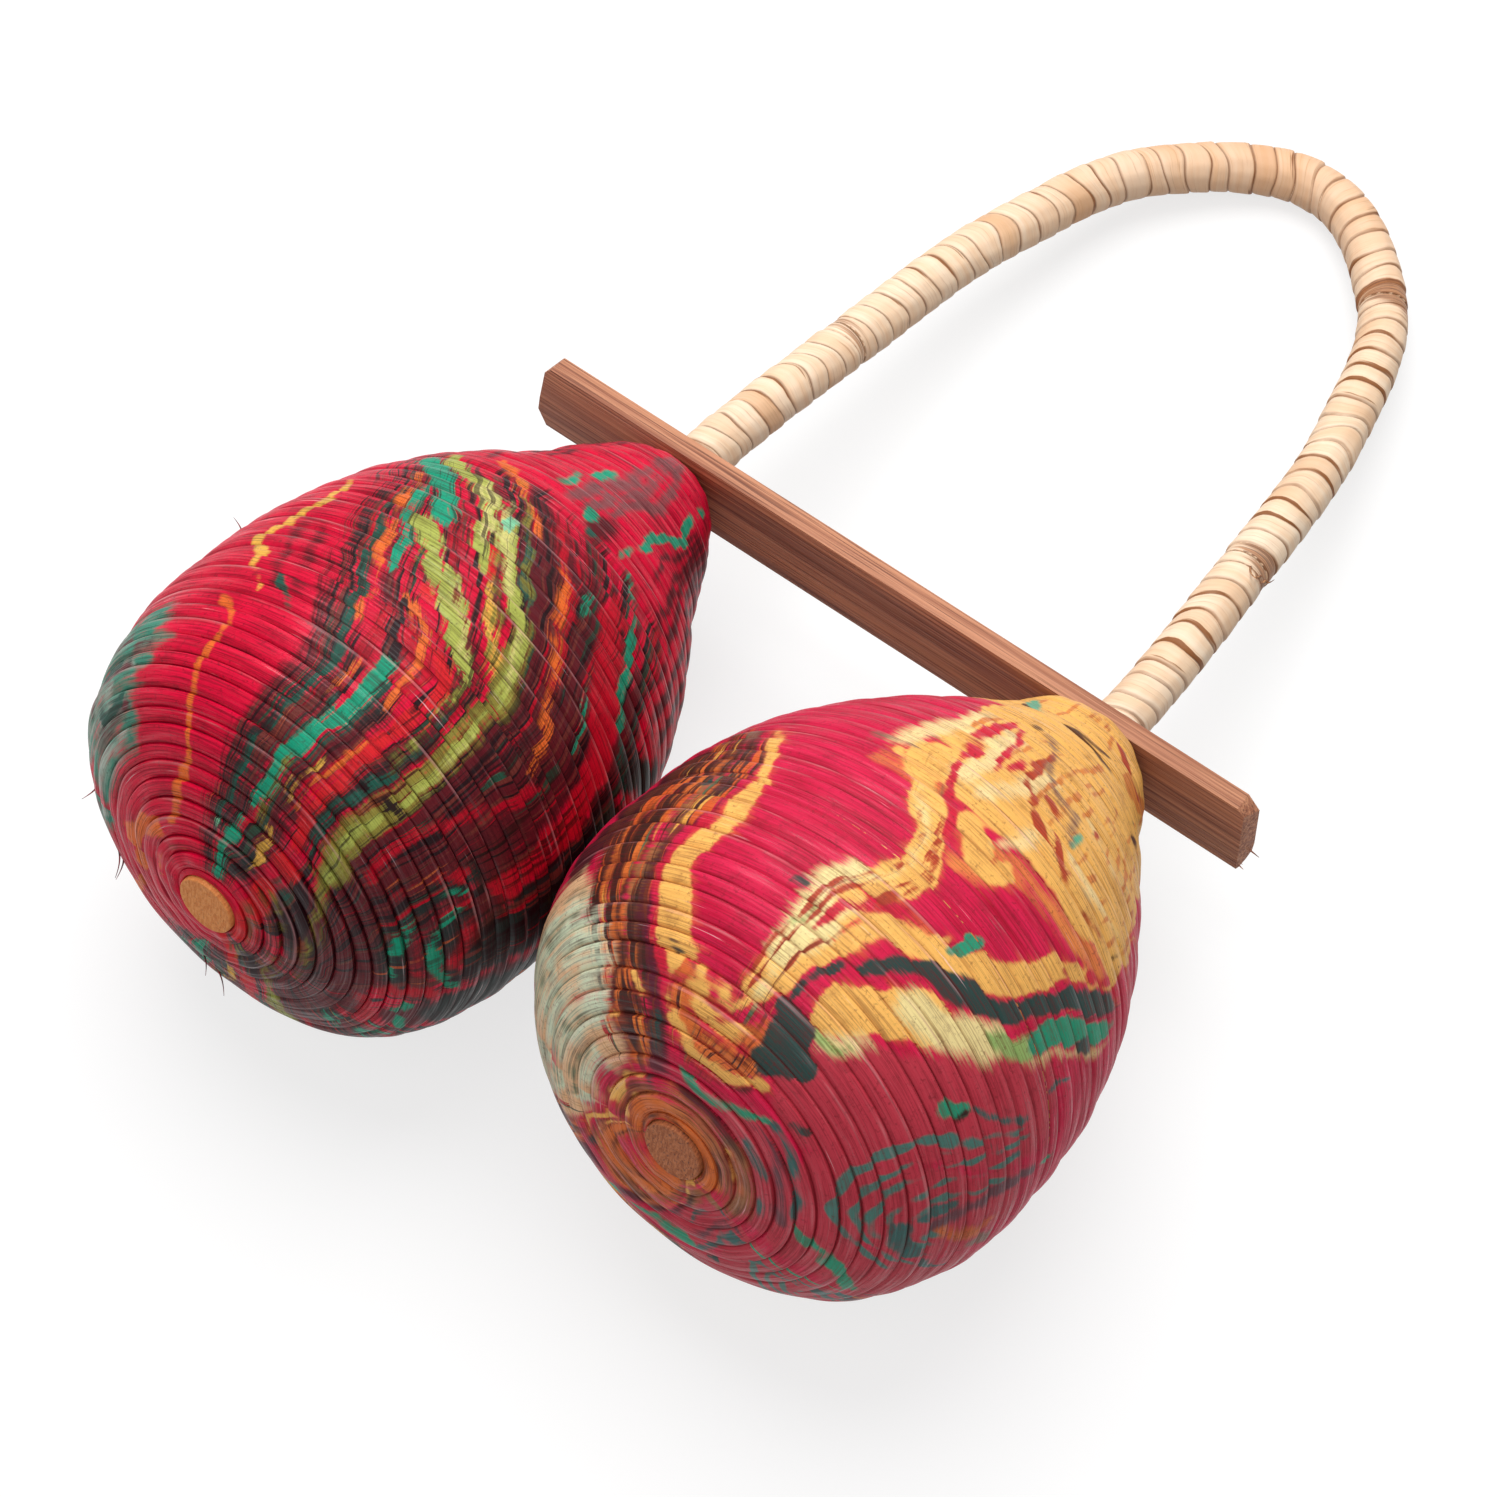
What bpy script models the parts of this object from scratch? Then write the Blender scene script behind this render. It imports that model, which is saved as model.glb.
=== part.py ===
"""A double maraca: two wound rattle heads on a bent, wrapped cane handle with a lath crossbar.

Metres, +Z up. The pieces are built flat, with the crossbar along X, the bend at +Y and the heads at -Y,
under the empty "maraca". That empty then turns them until both heads and the bend rest on the table, and
moves them until the middle of the model's footprint is at the origin.
"""
import bisect
import math

import bmesh
import bpy
from mathutils import Matrix, Vector
from mathutils.geometry import interpolate_bezier

# Heads: length from pole to neck, widest radius, radius at the crossbar, thickness of the wound wall
HEAD_LENGTH = {"left": 0.1207, "right": 0.1117}
BELLY_RADIUS = {"left": 0.0416, "right": 0.0435}
NECK_RADIUS = {"left": 0.0056, "right": 0.0090}
SHELL_WALL = 0.0025
# Solid winding round the cane in the neck, before the hollow starts
NECK_CORE = 0.018
# Head outline from pole to neck: share of the length, share of the widest radius
HEAD_OUTLINE = {
    "left": (
        (0.03, 0.46), (0.10, 0.85), (0.22, 0.99), (0.36, 1.0), (0.52, 0.93),
        (0.70, 0.715), (0.82, 0.49), (0.90, 0.375), (0.96, 0.265)),
    "right": (
        (0.03, 0.60), (0.10, 0.84), (0.22, 0.987), (0.36, 1.0), (0.52, 0.94),
        (0.70, 0.73), (0.82, 0.53), (0.90, 0.385), (0.96, 0.305)),
}
BELLY_SHARE = 0.32
# Each head sits a little askew on its cane: yaw turns its pole towards +X, pitch lifts it
HEAD_YAW = {"left": math.radians(-0.5), "right": math.radians(-1.7)}
HEAD_PITCH = {"left": math.radians(-0.7), "right": math.radians(1.8)}
# Narrow gap between the two heads where they are widest
HEAD_GAP = 0.0005

# Handle: from the crossbar's middle to the bend's centre line, and the outline between them as
# share of that reach, share of half the leg spacing
HANDLE_REACH = 0.1379
HANDLE_OUTLINE = ((0.05, 1.0), (0.33, 0.943), (0.64, 0.83), (0.88, 0.554))
CANE_RADIUS = 0.0037
# How far the cane reaches past the crossbar's middle into each neck
CANE_TONGUE = 0.034
WRAP_THICKNESS = 0.0006
# Places along the handle, as shares of its length from the left leg, where one strip follows another
WRAP_JOINS = (0.144, 0.606, 0.843)
WRAP_NAMES = ("left_leg_wrap", "bend_wrap", "right_shoulder_wrap", "right_leg_wrap")

# Crossbar lath, with its overhang measured from the middle of each leg
CROSSBAR_OVERHANG = 0.030
CROSSBAR_HEIGHT = 0.0135
CROSSBAR_THICKNESS = 0.0039
CROSSBAR_EDGE = 0.0004

# Plug in each head's pole
PLUG_RADIUS = 0.0053
PLUG_LENGTH = 0.012
PLUG_PROUD = 0.0003
PLUG_EDGE = 0.0004

# Loose seeds in each head, one behind the other, the first this far from the pole
SEED_COUNT = 8
SEED_RADIUS = 0.0028
SEED_SPACE = 0.0020
FIRST_SEED = 0.016

# Gap between pieces that touch, and between a seed and the wall that it rolls on
FIT_GAP = 0.0003
SEED_GAP = 0.0004

# How finely round shapes are divided
SHELL_STEPS = 36
OUTLINE_STEPS = 18
PATH_STEP = 0.005
# Short last stretch of each sleeve, which squares its end to the bend
SQUARE_TIP = 0.0005
TUBE_RESOLUTION = 4
HOLE_SIDES = 32
PLUG_SIDES = 24
BEZIER_STEPS = 24
SEAT_STEPS = 10
SETTLE_ROUNDS = 12
SEED_SUBDIVISIONS = 2
BEVEL_SEGMENTS = 2
# Edges sharper than this are shaded as corners
SHARP_ANGLE = math.radians(40)
# Points of a turned shell's seam that are nearer than this become one
SEAM_MERGE = 0.00001

# Color and roughness of each piece
CANE_LOOK = ((0.62, 0.44, 0.25), 0.6)
WRAP_LOOK = ((0.86, 0.72, 0.5), 0.45)
CROSSBAR_LOOK = ((0.36, 0.18, 0.09), 0.55)
HEAD_LOOK = {"left": ((0.55, 0.05, 0.08), 0.4), "right": ((0.66, 0.16, 0.10), 0.4)}
PLUG_LOOK = {"left": ((0.62, 0.26, 0.06), 0.7), "right": ((0.30, 0.12, 0.05), 0.7)}
SEED_LOOK = ((0.30, 0.17, 0.08), 0.5)

SIDES = {"left": -1, "right": 1}
WRAP_RADIUS = CANE_RADIUS + FIT_GAP + WRAP_THICKNESS
CANE_HOLE = CANE_RADIUS + FIT_GAP
PLUG_HOLE = PLUG_RADIUS + FIT_GAP
WRAP_FOOT = CROSSBAR_THICKNESS / 2 + FIT_GAP
# The cutters for the crossbar's holes stick out on both sides of it
CUTTER_LENGTH = CROSSBAR_THICKNESS * 3


def neck_place(side):
    """Distance from the crossbar's middle to a neck's end, with room for the edge that leans nearer."""
    lean = math.acos(math.cos(HEAD_YAW[side]) * math.cos(HEAD_PITCH[side]))
    return CROSSBAR_THICKNESS / 2 + FIT_GAP + NECK_RADIUS[side] * math.sin(lean)


def belly_shift(side):
    """How far the yaw moves a head's widest place outwards."""
    distance = neck_place(side) + HEAD_LENGTH[side] * (1 - BELLY_SHARE)
    return SIDES[side] * math.sin(HEAD_YAW[side]) * distance


LEG_SPACING = sum(BELLY_RADIUS[side] - belly_shift(side) for side in SIDES) + HEAD_GAP


def evenly_spaced(points, count, start=0.0, end=1.0):
    """Count + 1 points spread evenly along a polyline, between two shares of its length."""
    lengths = [0.0]
    for first, second in zip(points, points[1:]):
        lengths.append(lengths[-1] + (second - first).length)
    spread = []
    for step in range(count + 1):
        target = lengths[-1] * (start + (end - start) * step / count)
        index = min(bisect.bisect_right(lengths, target), len(points) - 1)
        share = (target - lengths[index - 1]) / (lengths[index] - lengths[index - 1])
        spread.append(points[index - 1].lerp(points[index], share))
    return spread


def smooth_through(knots):
    """A dense polyline on a smooth curve through the knots."""
    tangents = []
    for index, knot in enumerate(knots):
        back = knot - knots[index - 1] if index else knots[1] - knot
        ahead = knots[index + 1] - knot if index + 1 < len(knots) else back
        tangents.append((back.normalized() * ahead.length + ahead.normalized() * back.length).normalized())
    line = []
    for first, second, leaving, arriving in zip(knots, knots[1:], tangents, tangents[1:]):
        reach = (second - first).length / 3
        handles = first + leaving * reach, second - arriving * reach
        line += interpolate_bezier(first, *handles, second, BEZIER_STEPS)[:-1]
    return line + [knots[-1]]


def new_collection(name):
    collection = bpy.data.collections.new(name)
    bpy.context.scene.collection.children.link(collection)
    return collection


def new_empty(name, parent=None):
    empty = bpy.data.objects.new(name, None)
    empty.rotation_mode = "QUATERNION"
    empty.parent = parent
    parts.objects.link(empty)
    return empty


def new_part(name, data, parent, look):
    """Add a piece under its parent, with a material of its own."""
    color, roughness = look
    part = bpy.data.objects.new(name, data)
    part.parent = parent
    parts.objects.link(part)
    material = bpy.data.materials.new(name)
    material.use_nodes = True
    shader = material.node_tree.nodes["Principled BSDF"]
    shader.inputs["Base Color"].default_value = (*color, 1.0)
    shader.inputs["Roughness"].default_value = roughness
    shader.inputs["Metallic"].default_value = 0.0
    data.materials.append(material)
    return part


def mesh_from(bm, name):
    mesh = bpy.data.meshes.new(name)
    bm.to_mesh(mesh)
    bm.free()
    mesh.shade_smooth()
    mesh.set_sharp_from_angle(angle=SHARP_ANGLE)
    return mesh


def tube_curve(name, points, radius, capped):
    """A round tube along a polyline."""
    curve = bpy.data.curves.new(name, "CURVE")
    curve.dimensions = "3D"
    curve.bevel_depth = radius
    curve.bevel_resolution = TUBE_RESOLUTION
    curve.use_fill_caps = capped
    spline = curve.splines.new("POLY")
    spline.points.add(len(points) - 1)
    for place, point in zip(spline.points, points):
        place.co = (*point, 1.0)
    return curve


def cylinder_mesh(name, radius, length, sides):
    """A solid cylinder round Z, from z = 0 up to its length."""
    bm = bmesh.new()
    bmesh.ops.create_cone(
        bm, cap_ends=True, segments=sides, radius1=radius, radius2=radius, depth=length,
        matrix=Matrix.Translation((0, 0, length / 2)))
    return mesh_from(bm, name)


def add_bevel(part, width):
    bevel = part.modifiers.new("edges", "BEVEL")
    bevel.width = width
    bevel.segments = BEVEL_SEGMENTS
    bevel.limit_method = "ANGLE"


def handle_line():
    """The handle's centre line, from the left leg at the crossbar round the bend to the right leg."""
    half = LEG_SPACING / 2
    right = [Vector((half * width, HANDLE_REACH * share, 0)) for share, width in HANDLE_OUTLINE]
    left = [Vector((-point.x, point.y, 0)) for point in right]
    return smooth_through(
        [Vector((-half, 0, 0)), *left, Vector((0, HANDLE_REACH, 0)), *reversed(right), Vector((half, 0, 0))])


def head_direction(side):
    """The way from a head's neck to its pole."""
    yaw, pitch = HEAD_YAW[side], HEAD_PITCH[side]
    return Vector((math.sin(yaw) * math.cos(pitch), -math.cos(yaw) * math.cos(pitch), math.sin(pitch)))


def leg_foot(side):
    return Vector((SIDES[side] * LEG_SPACING / 2, 0, 0))


def wrap_lines():
    """The centre lines of the strips wound on the cane, which follow one another round the bend."""
    line = handle_line()
    length = sum((second - first).length for first, second in zip(line, line[1:]))
    join = FIT_GAP / 2 / length
    tip = SQUARE_TIP / length
    foot = WRAP_FOOT / length - join
    edges = [foot, *WRAP_JOINS, 1 - foot]
    lines = []
    for before, after in zip(edges, edges[1:]):
        start, end = before + join, after - join
        steps = math.ceil(length * (end - start) / PATH_STEP)
        first, last = evenly_spaced(line, 1, start, end)
        lines.append([first, *evenly_spaced(line, steps, start + tip, end - tip), last])
    return lines


def add_handle_cane(lines):
    """The cane, inside all the strips, through the crossbar and into both necks."""
    covered = [point for line in lines for point in line]
    left, right = ([leg_foot(side) + head_direction(side) * CANE_TONGUE, leg_foot(side)] for side in SIDES)
    curve = tube_curve("handle_cane", [*left, *covered, *reversed(right)], CANE_RADIUS, capped=True)
    new_part("handle_cane", curve, maraca, CANE_LOOK)


def add_wraps(lines):
    """The strips wound on the cane, as sleeves."""
    wraps = {}
    for name, line in zip(WRAP_NAMES, lines):
        curve = tube_curve(name, line, WRAP_RADIUS, capped=False)
        wraps[name] = new_part(name, curve, maraca, WRAP_LOOK)
        sleeve = wraps[name].modifiers.new("sleeve", "SOLIDIFY")
        sleeve.thickness = WRAP_THICKNESS
        sleeve.offset = -1
        sleeve.use_even_offset = True
    return wraps


def add_crossbar():
    """The lath, with a hole for the cane at each leg."""
    bm = bmesh.new()
    size = (LEG_SPACING + 2 * CROSSBAR_OVERHANG, CROSSBAR_THICKNESS, CROSSBAR_HEIGHT)
    bmesh.ops.create_cube(bm, size=1.0, matrix=Matrix.Diagonal((*size, 1.0)))
    crossbar = new_part("crossbar", mesh_from(bm, "crossbar"), maraca, CROSSBAR_LOOK)
    add_bevel(crossbar, CROSSBAR_EDGE)
    for side in SIDES:
        cutter = bpy.data.objects.new(
            f"{side}_cane_cutter", cylinder_mesh(f"{side}_cane_cutter", CANE_HOLE, CUTTER_LENGTH, HOLE_SIDES))
        cutter.parent = maraca
        cutter.rotation_mode = "QUATERNION"
        cutter.rotation_quaternion = Vector((0, 0, 1)).rotation_difference(head_direction(side))
        cutter.location = leg_foot(side) - head_direction(side) * CUTTER_LENGTH / 2
        cutter.hide_render = True
        cutter.display_type = "WIRE"
        cutters.objects.link(cutter)
        hole = crossbar.modifiers.new(f"{side}_hole", "BOOLEAN")
        hole.operation = "DIFFERENCE"
        hole.solver = "EXACT"
        hole.object = cutter


def outer_outline(side):
    """Points (radius, height above the pole) on the outside of a head, from the pole's hole to the neck."""
    length = HEAD_LENGTH[side]
    between = [Vector((BELLY_RADIUS[side] * width, length * share)) for share, width in HEAD_OUTLINE[side]]
    knots = [Vector((PLUG_HOLE, 0)), *between, Vector((NECK_RADIUS[side], length))]
    return evenly_spaced(smooth_through(knots), OUTLINE_STEPS)


def radius_at(outline, height):
    """Radius of an outline at a height, between its points."""
    for low, high in zip(outline, outline[1:]):
        if height <= high.y:
            return low.x + (high.x - low.x) * (height - low.y) / (high.y - low.y)
    return outline[-1].x


def inner_outline(side):
    """Points on the inside of the wall, from the pole's hole to the end of the hollow."""
    outer = outer_outline(side)
    hollow_end = HEAD_LENGTH[side] - NECK_CORE
    inner = [Vector((PLUG_HOLE, SHELL_WALL))]
    for before, point, after in zip(outer, outer[1:], outer[2:]):
        along = (after - before).normalized()
        inner.append(point + Vector((-along.y, along.x)) * SHELL_WALL)
    kept = [point for point in inner if point.y < hollow_end - SHELL_WALL / 2]
    return kept + [Vector((radius_at(inner, hollow_end), hollow_end))]


def add_head_axis(side):
    """An empty at the head's pole, with its Z along the head's axis towards the neck."""
    axis = new_empty(f"{side}_head_axis", maraca)
    out = head_direction(side)
    axis.rotation_quaternion = Vector((0, 0, 1)).rotation_difference(-out)
    axis.location = leg_foot(side) + out * (neck_place(side) + HEAD_LENGTH[side])
    return axis


def add_shell(side, axis):
    """The wound wall, turned round the head's axis, with a hole for the plug and one for the cane."""
    length = HEAD_LENGTH[side]
    hollow_end = length - NECK_CORE
    loop = [*reversed(outer_outline(side)), *inner_outline(side)]
    loop += [Vector((CANE_HOLE, hollow_end)), Vector((CANE_HOLE, length))]
    name = f"{side}_head_shell"
    mesh = bpy.data.meshes.new(name)
    edges = [(index, (index + 1) % len(loop)) for index in range(len(loop))]
    mesh.from_pydata([(point.x, 0, point.y) for point in loop], edges, [])
    shell = new_part(name, mesh, axis, HEAD_LOOK[side])
    turn = shell.modifiers.new("turn", "SCREW")
    turn.axis = "Z"
    turn.angle = math.tau
    turn.steps = SHELL_STEPS
    turn.render_steps = SHELL_STEPS
    turn.use_merge_vertices = True
    turn.merge_threshold = SEAM_MERGE
    turn.use_smooth_shade = True
    return shell


def add_plug(side, axis):
    """The round plug that closes the hole in the pole."""
    name = f"{side}_end_plug"
    plug = new_part(name, cylinder_mesh(name, PLUG_RADIUS, PLUG_LENGTH, PLUG_SIDES), axis, PLUG_LOOK[side])
    plug.location = (0, 0, -PLUG_PROUD)
    add_bevel(plug, PLUG_EDGE)


def seat_radius(wall, height):
    """Distance from the axis at which a seed lies on the wall at this height."""
    reach = SEED_RADIUS + SEED_GAP
    offsets = [reach * step / SEAT_STEPS for step in range(-SEAT_STEPS, SEAT_STEPS + 1)]
    return min(radius_at(wall, height + offset) - math.sqrt(reach**2 - offset**2) for offset in offsets)


def add_seeds(side, axis, up):
    """The loose seeds, each with its origin on the axis that it runs round, lying at its lowest place."""
    wall = inner_outline(side)
    down = axis.rotation_quaternion.inverted() @ -up
    down = Vector((down.x, down.y, 0)).normalized()
    for number in range(SEED_COUNT):
        height = FIRST_SEED + number * (2 * SEED_RADIUS + SEED_SPACE)
        name = f"{side}_seed_{number + 1}"
        seat = Matrix.Translation(down * seat_radius(wall, height))
        bm = bmesh.new()
        bmesh.ops.create_icosphere(bm, subdivisions=SEED_SUBDIVISIONS, radius=SEED_RADIUS, matrix=seat)
        seed = new_part(name, mesh_from(bm, name), axis, SEED_LOOK)
        seed.location = (0, 0, height)


def evaluated_points(part):
    """The points of a piece in its world place, with its modifiers."""
    shown = part.evaluated_get(bpy.context.evaluated_depsgraph_get())
    points = [shown.matrix_world @ vertex.co for vertex in shown.to_mesh().vertices]
    shown.to_mesh_clear()
    return points


def resting_up(feet):
    """The direction that is up when the lowest points of the three feet stand on one level table."""
    clouds = [evaluated_points(foot) for foot in feet]
    up = Vector((0, 0, 1))
    for _ in range(SETTLE_ROUNDS):
        left, right, bend = (min(cloud, key=up.dot) for cloud in clouds)
        up = (right - left).cross(bend - left).normalized()
    return up


def stand_on_origin():
    """Move the whole object so that the bottom middle of its box is at the origin."""
    bpy.context.view_layer.update()
    points = [point for part in parts.objects if part.type != "EMPTY" for point in evaluated_points(part)]
    lows, highs = ([pick(values) for values in zip(*points)] for pick in (min, max))
    maraca.location -= Vector(((lows[0] + highs[0]) / 2, (lows[1] + highs[1]) / 2, lows[2]))
    bpy.context.view_layer.update()


for leftover in list(bpy.data.objects):
    bpy.data.objects.remove(leftover, do_unlink=True)
parts = new_collection("double_maraca")
cutters = new_collection("cutters")
maraca = new_empty("maraca")

strip_lines = wrap_lines()
add_handle_cane(strip_lines)
handle_wraps = add_wraps(strip_lines)
add_crossbar()
head_axes = {side: add_head_axis(side) for side in SIDES}
shells = {side: add_shell(side, head_axes[side]) for side in SIDES}
for head_side, head_axis in head_axes.items():
    add_plug(head_side, head_axis)

bpy.context.view_layer.update()
table_up = resting_up([shells["left"], shells["right"], handle_wraps["bend_wrap"]])
for head_side, head_axis in head_axes.items():
    add_seeds(head_side, head_axis, table_up)
maraca.rotation_quaternion = table_up.rotation_difference(Vector((0, 0, 1)))
stand_on_origin()
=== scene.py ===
"""Looks of a double maraca: two wound, painted rattle heads on a bent cane handle wrapped with pale strips."""
import math

import bpy
import numpy as np
from mathutils import Matrix, Vector


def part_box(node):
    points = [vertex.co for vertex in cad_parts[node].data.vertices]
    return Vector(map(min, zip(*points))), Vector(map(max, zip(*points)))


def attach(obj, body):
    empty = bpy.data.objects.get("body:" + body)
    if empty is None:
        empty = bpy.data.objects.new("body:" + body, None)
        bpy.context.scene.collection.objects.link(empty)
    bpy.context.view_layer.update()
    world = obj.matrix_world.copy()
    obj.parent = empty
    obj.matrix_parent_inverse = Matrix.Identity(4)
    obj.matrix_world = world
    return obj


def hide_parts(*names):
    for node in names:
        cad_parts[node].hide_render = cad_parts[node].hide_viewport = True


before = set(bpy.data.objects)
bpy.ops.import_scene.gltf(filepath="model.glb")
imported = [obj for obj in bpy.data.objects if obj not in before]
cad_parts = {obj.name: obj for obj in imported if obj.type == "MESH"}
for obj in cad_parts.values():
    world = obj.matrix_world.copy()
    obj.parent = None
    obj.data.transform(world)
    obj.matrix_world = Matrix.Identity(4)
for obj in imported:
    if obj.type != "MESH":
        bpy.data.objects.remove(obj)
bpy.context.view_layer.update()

scene = bpy.context.scene
scene.view_settings.view_transform = "Standard"


# The table is a plain white sheet that runs out of sight, and stays white to the camera except in shadow. The
# light is a wide soft lamp overhead, a little behind and to the left, a weak one in front, and a white room around.
TABLE_WIDTH = 8
SHEET_GREY, SHEET_GLOW = 0.30, 0.72
ROOM_LIGHT, ROOM_GLOW = 0.44, 0.56
LAMP_WIDTH = 1.4
LAMPS = (((-0.35, 0.40, 1.3), 20), ((0.05, -1.05, 1.15), 4.5))
CAMERA_PLACE = (0.22778791, -0.36277185, 0.67956741)
CAMERA_AXES = (
    (0.79645795, 0.60452485, 0.01429835),
    (-0.52414686, 0.67838316, 0.51484597),
    (0.30153742, -0.4175476, 0.85716346))


def feed(tree, node, inputs):
    """Set a node's inputs, by name or number, to a value or to the socket that feeds them."""
    for key, value in inputs.items():
        if isinstance(value, bpy.types.NodeSocket):
            tree.links.new(value, node.inputs[key])
        else:
            node.inputs[key].default_value = value
    return node


def place(tree, kind, inputs, **settings):
    """Add a shader node and feed its inputs."""
    made = tree.nodes.new(kind)
    for key, value in settings.items():
        setattr(made, key, value)
    return feed(tree, made, inputs)


def counted(tree, operation, *values):
    """What an operation makes of two or three values."""
    return place(tree, "ShaderNodeMath", dict(enumerate(values)), operation=operation).outputs[0]


def seen_directly(tree, strength):
    """The strength where the camera, a reflection or a refraction sees the surface, and nothing in its light."""
    path = place(tree, "ShaderNodeLightPath", {})
    seen = path.outputs["Is Camera Ray"]
    for ray in ("Is Glossy Ray", "Is Transmission Ray"):
        seen = counted(tree, "MAXIMUM", seen, path.outputs[ray])
    return counted(tree, "MULTIPLY", seen, strength)


bpy.ops.object.select_all(action="DESELECT")
bpy.ops.mesh.primitive_plane_add(size=TABLE_WIDTH)
table = bpy.context.object
table.name = "table"
bpy.ops.object.mode_set(mode="EDIT")
bpy.ops.mesh.subdivide(number_cuts=3)
bpy.ops.object.mode_set(mode="OBJECT")
sheet_white = bpy.data.materials.new("white_sheet")
sheet_white.use_nodes = True
tree = sheet_white.node_tree
tree.nodes.clear()
matt = place(tree, "ShaderNodeBsdfDiffuse", {"Color": (SHEET_GREY, SHEET_GREY, SHEET_GREY, 1)})
lift = place(tree, "ShaderNodeEmission", {"Strength": seen_directly(tree, SHEET_GLOW)})
both = place(tree, "ShaderNodeAddShader", {0: matt.outputs[0], 1: lift.outputs[0]})
place(tree, "ShaderNodeOutputMaterial", {"Surface": both.outputs[0]})
table.data.materials.append(sheet_white)

scene.world = bpy.data.worlds.new("white_room")
scene.world.use_nodes = True
tree = scene.world.node_tree
tree.nodes.clear()
room_light = counted(tree, "ADD", seen_directly(tree, ROOM_GLOW), ROOM_LIGHT)
room = place(tree, "ShaderNodeBackground", {"Strength": room_light})
place(tree, "ShaderNodeOutputWorld", {"Surface": room.outputs[0]})

for lamp_from, lamp_power in LAMPS:
    lamp_turn = Vector(lamp_from).to_track_quat("Z", "Y").to_euler()
    bpy.ops.object.light_add(type="AREA", location=lamp_from, rotation=lamp_turn)
    lamp = bpy.context.object.data
    lamp.shape = "DISK"
    lamp.size = LAMP_WIDTH
    lamp.energy = lamp_power

bpy.ops.object.camera_add(location=CAMERA_PLACE, rotation=Matrix(CAMERA_AXES).transposed().to_euler())
scene.camera = bpy.context.object
scene.camera.data.lens = 110.62
scene.camera.data.sensor_width = 36


# The handle cane is one bent rattan rod. It is covered by the strips, and its two ends go through the
# crossbar into the necks of the heads.
def tint(red, green, blue):
    """A colour as a painter reads it off a screen, 0 to 255, in the light values that a shader takes."""
    return (*(((share / 255 + 0.055) / 1.055) ** 2.4 for share in (red, green, blue)), 1)


def shown_by(name):
    """A new material with its one surface shader, to be fed."""
    material = bpy.data.materials.new(name)
    material.use_nodes = True
    material.node_tree.nodes.clear()
    surface = place(material.node_tree, "ShaderNodeBsdfPrincipled", {})
    place(material.node_tree, "ShaderNodeOutputMaterial", {"Surface": surface.outputs[0]})
    return material, material.node_tree, surface


def mixed(tree, share, under, over):
    """One colour laid over another by this share."""
    return place(tree, "ShaderNodeMix", {0: share, 6: under, 7: over}, data_type="RGBA").outputs[2]


def ramped(tree, value, low, high, bottom=0.0, top=1.0):
    """The value spread smoothly from bottom to top, as it goes from low to high."""
    return place(
        tree, "ShaderNodeMapRange", {0: value, 1: low, 2: high, 3: bottom, 4: top},
        interpolation_type="SMOOTHSTEP").outputs[0]


def noise_on(tree, vector, stretch, detail=3.0, roughness=0.55):
    """Noise that varies at these rates, per unit of the vector, along its three directions."""
    laid = place(tree, "ShaderNodeMapping", {"Vector": vector, "Scale": stretch})
    return place(
        tree, "ShaderNodeTexNoise",
        {"Vector": laid.outputs[0], "Scale": 1.0, "Detail": detail, "Roughness": roughness}).outputs[0]


def on_piece(tree):
    """A spot on the piece, in metres."""
    return place(tree, "ShaderNodeTexCoord", {}).outputs["Object"]


def finished(tree, surface, tone, rough, relief=None, strength=0.5, depth=0.0002):
    """Feed a surface its colour, its roughness and, where it has one, its fine relief."""
    feed(tree, surface, {"Base Color": tone, "Roughness": rough})
    if relief is not None:
        bump = place(tree, "ShaderNodeBump", {"Strength": strength, "Distance": depth, "Height": relief})
        feed(tree, surface, {"Normal": bump.outputs[0]})


rattan, tree, surface = shown_by("bare_rattan")
grain = noise_on(tree, on_piece(tree), (900, 120, 900))
tone = mixed(tree, ramped(tree, grain, 0.3, 0.7), tint(196, 150, 98), tint(222, 184, 134))
finished(tree, surface, tone, ramped(tree, grain, 0.2, 0.8, 0.5, 0.7), grain, 0.4)
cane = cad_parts["handle_cane"]
cane.data.materials.clear()
cane.data.materials.append(rattan)


# The handle's wrapping is four lengths of pale, split rattan, wound edge over edge round the cane and glued.
# Each turn stands a little proud of the next, its cut edge is brown, and the joins between lengths are frayed.
FLAT_AXES = Matrix((
    (0.9999972, -0.00020801, 0.00236014),
    (-0.0002080, 0.98458403, 0.17491211),
    (-0.0023601, -0.17491211, 0.98458123)))
CROSSBAR_MIDDLE = Vector((0.0006535, -0.0088308, 0.0286200))
LEG_HALF = 0.0435975
HANDLE_REACH = 0.1379
HANDLE_OUTLINE = ((0.05, 1.0), (0.33, 0.943), (0.64, 0.83), (0.88, 0.554))
WRAP_ENDS = (0.0065, 0.144, 0.606, 0.843, 0.9935)
WRAP_NAMES = ("left_leg_wrap", "bend_wrap", "right_shoulder_wrap", "right_leg_wrap")
WRAP_RADIUS = 0.0046
WRAP_THICKNESS = 0.0006
WRAP_PITCH = 0.0044
WRAP_COLUMNS = 48
WRAP_END_GAP = 0.00015
WRAP_UNEVENNESS = 0.0008
STRIP_WIDTH = 0.0046
CANE_HOLE = 0.0040
EDGE_RATES = (0.37, 0.61, 0.83, 1.71, 2.9)
RIDGE_RATES, RIDGE_UNEVENNESS = (0.7, 1.9, 5.3, 11.7), 0.22
INNER_ROWS = 18
# A line to wind round is rows of numbers: its distance, then parts that begin at these columns
CENTRE, SIDE, OTHER_SIDE, ONWARD, RADIUS, RISE_OUT, RISE_ON = 1, 4, 7, 10, 13, 14, 15
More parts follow.
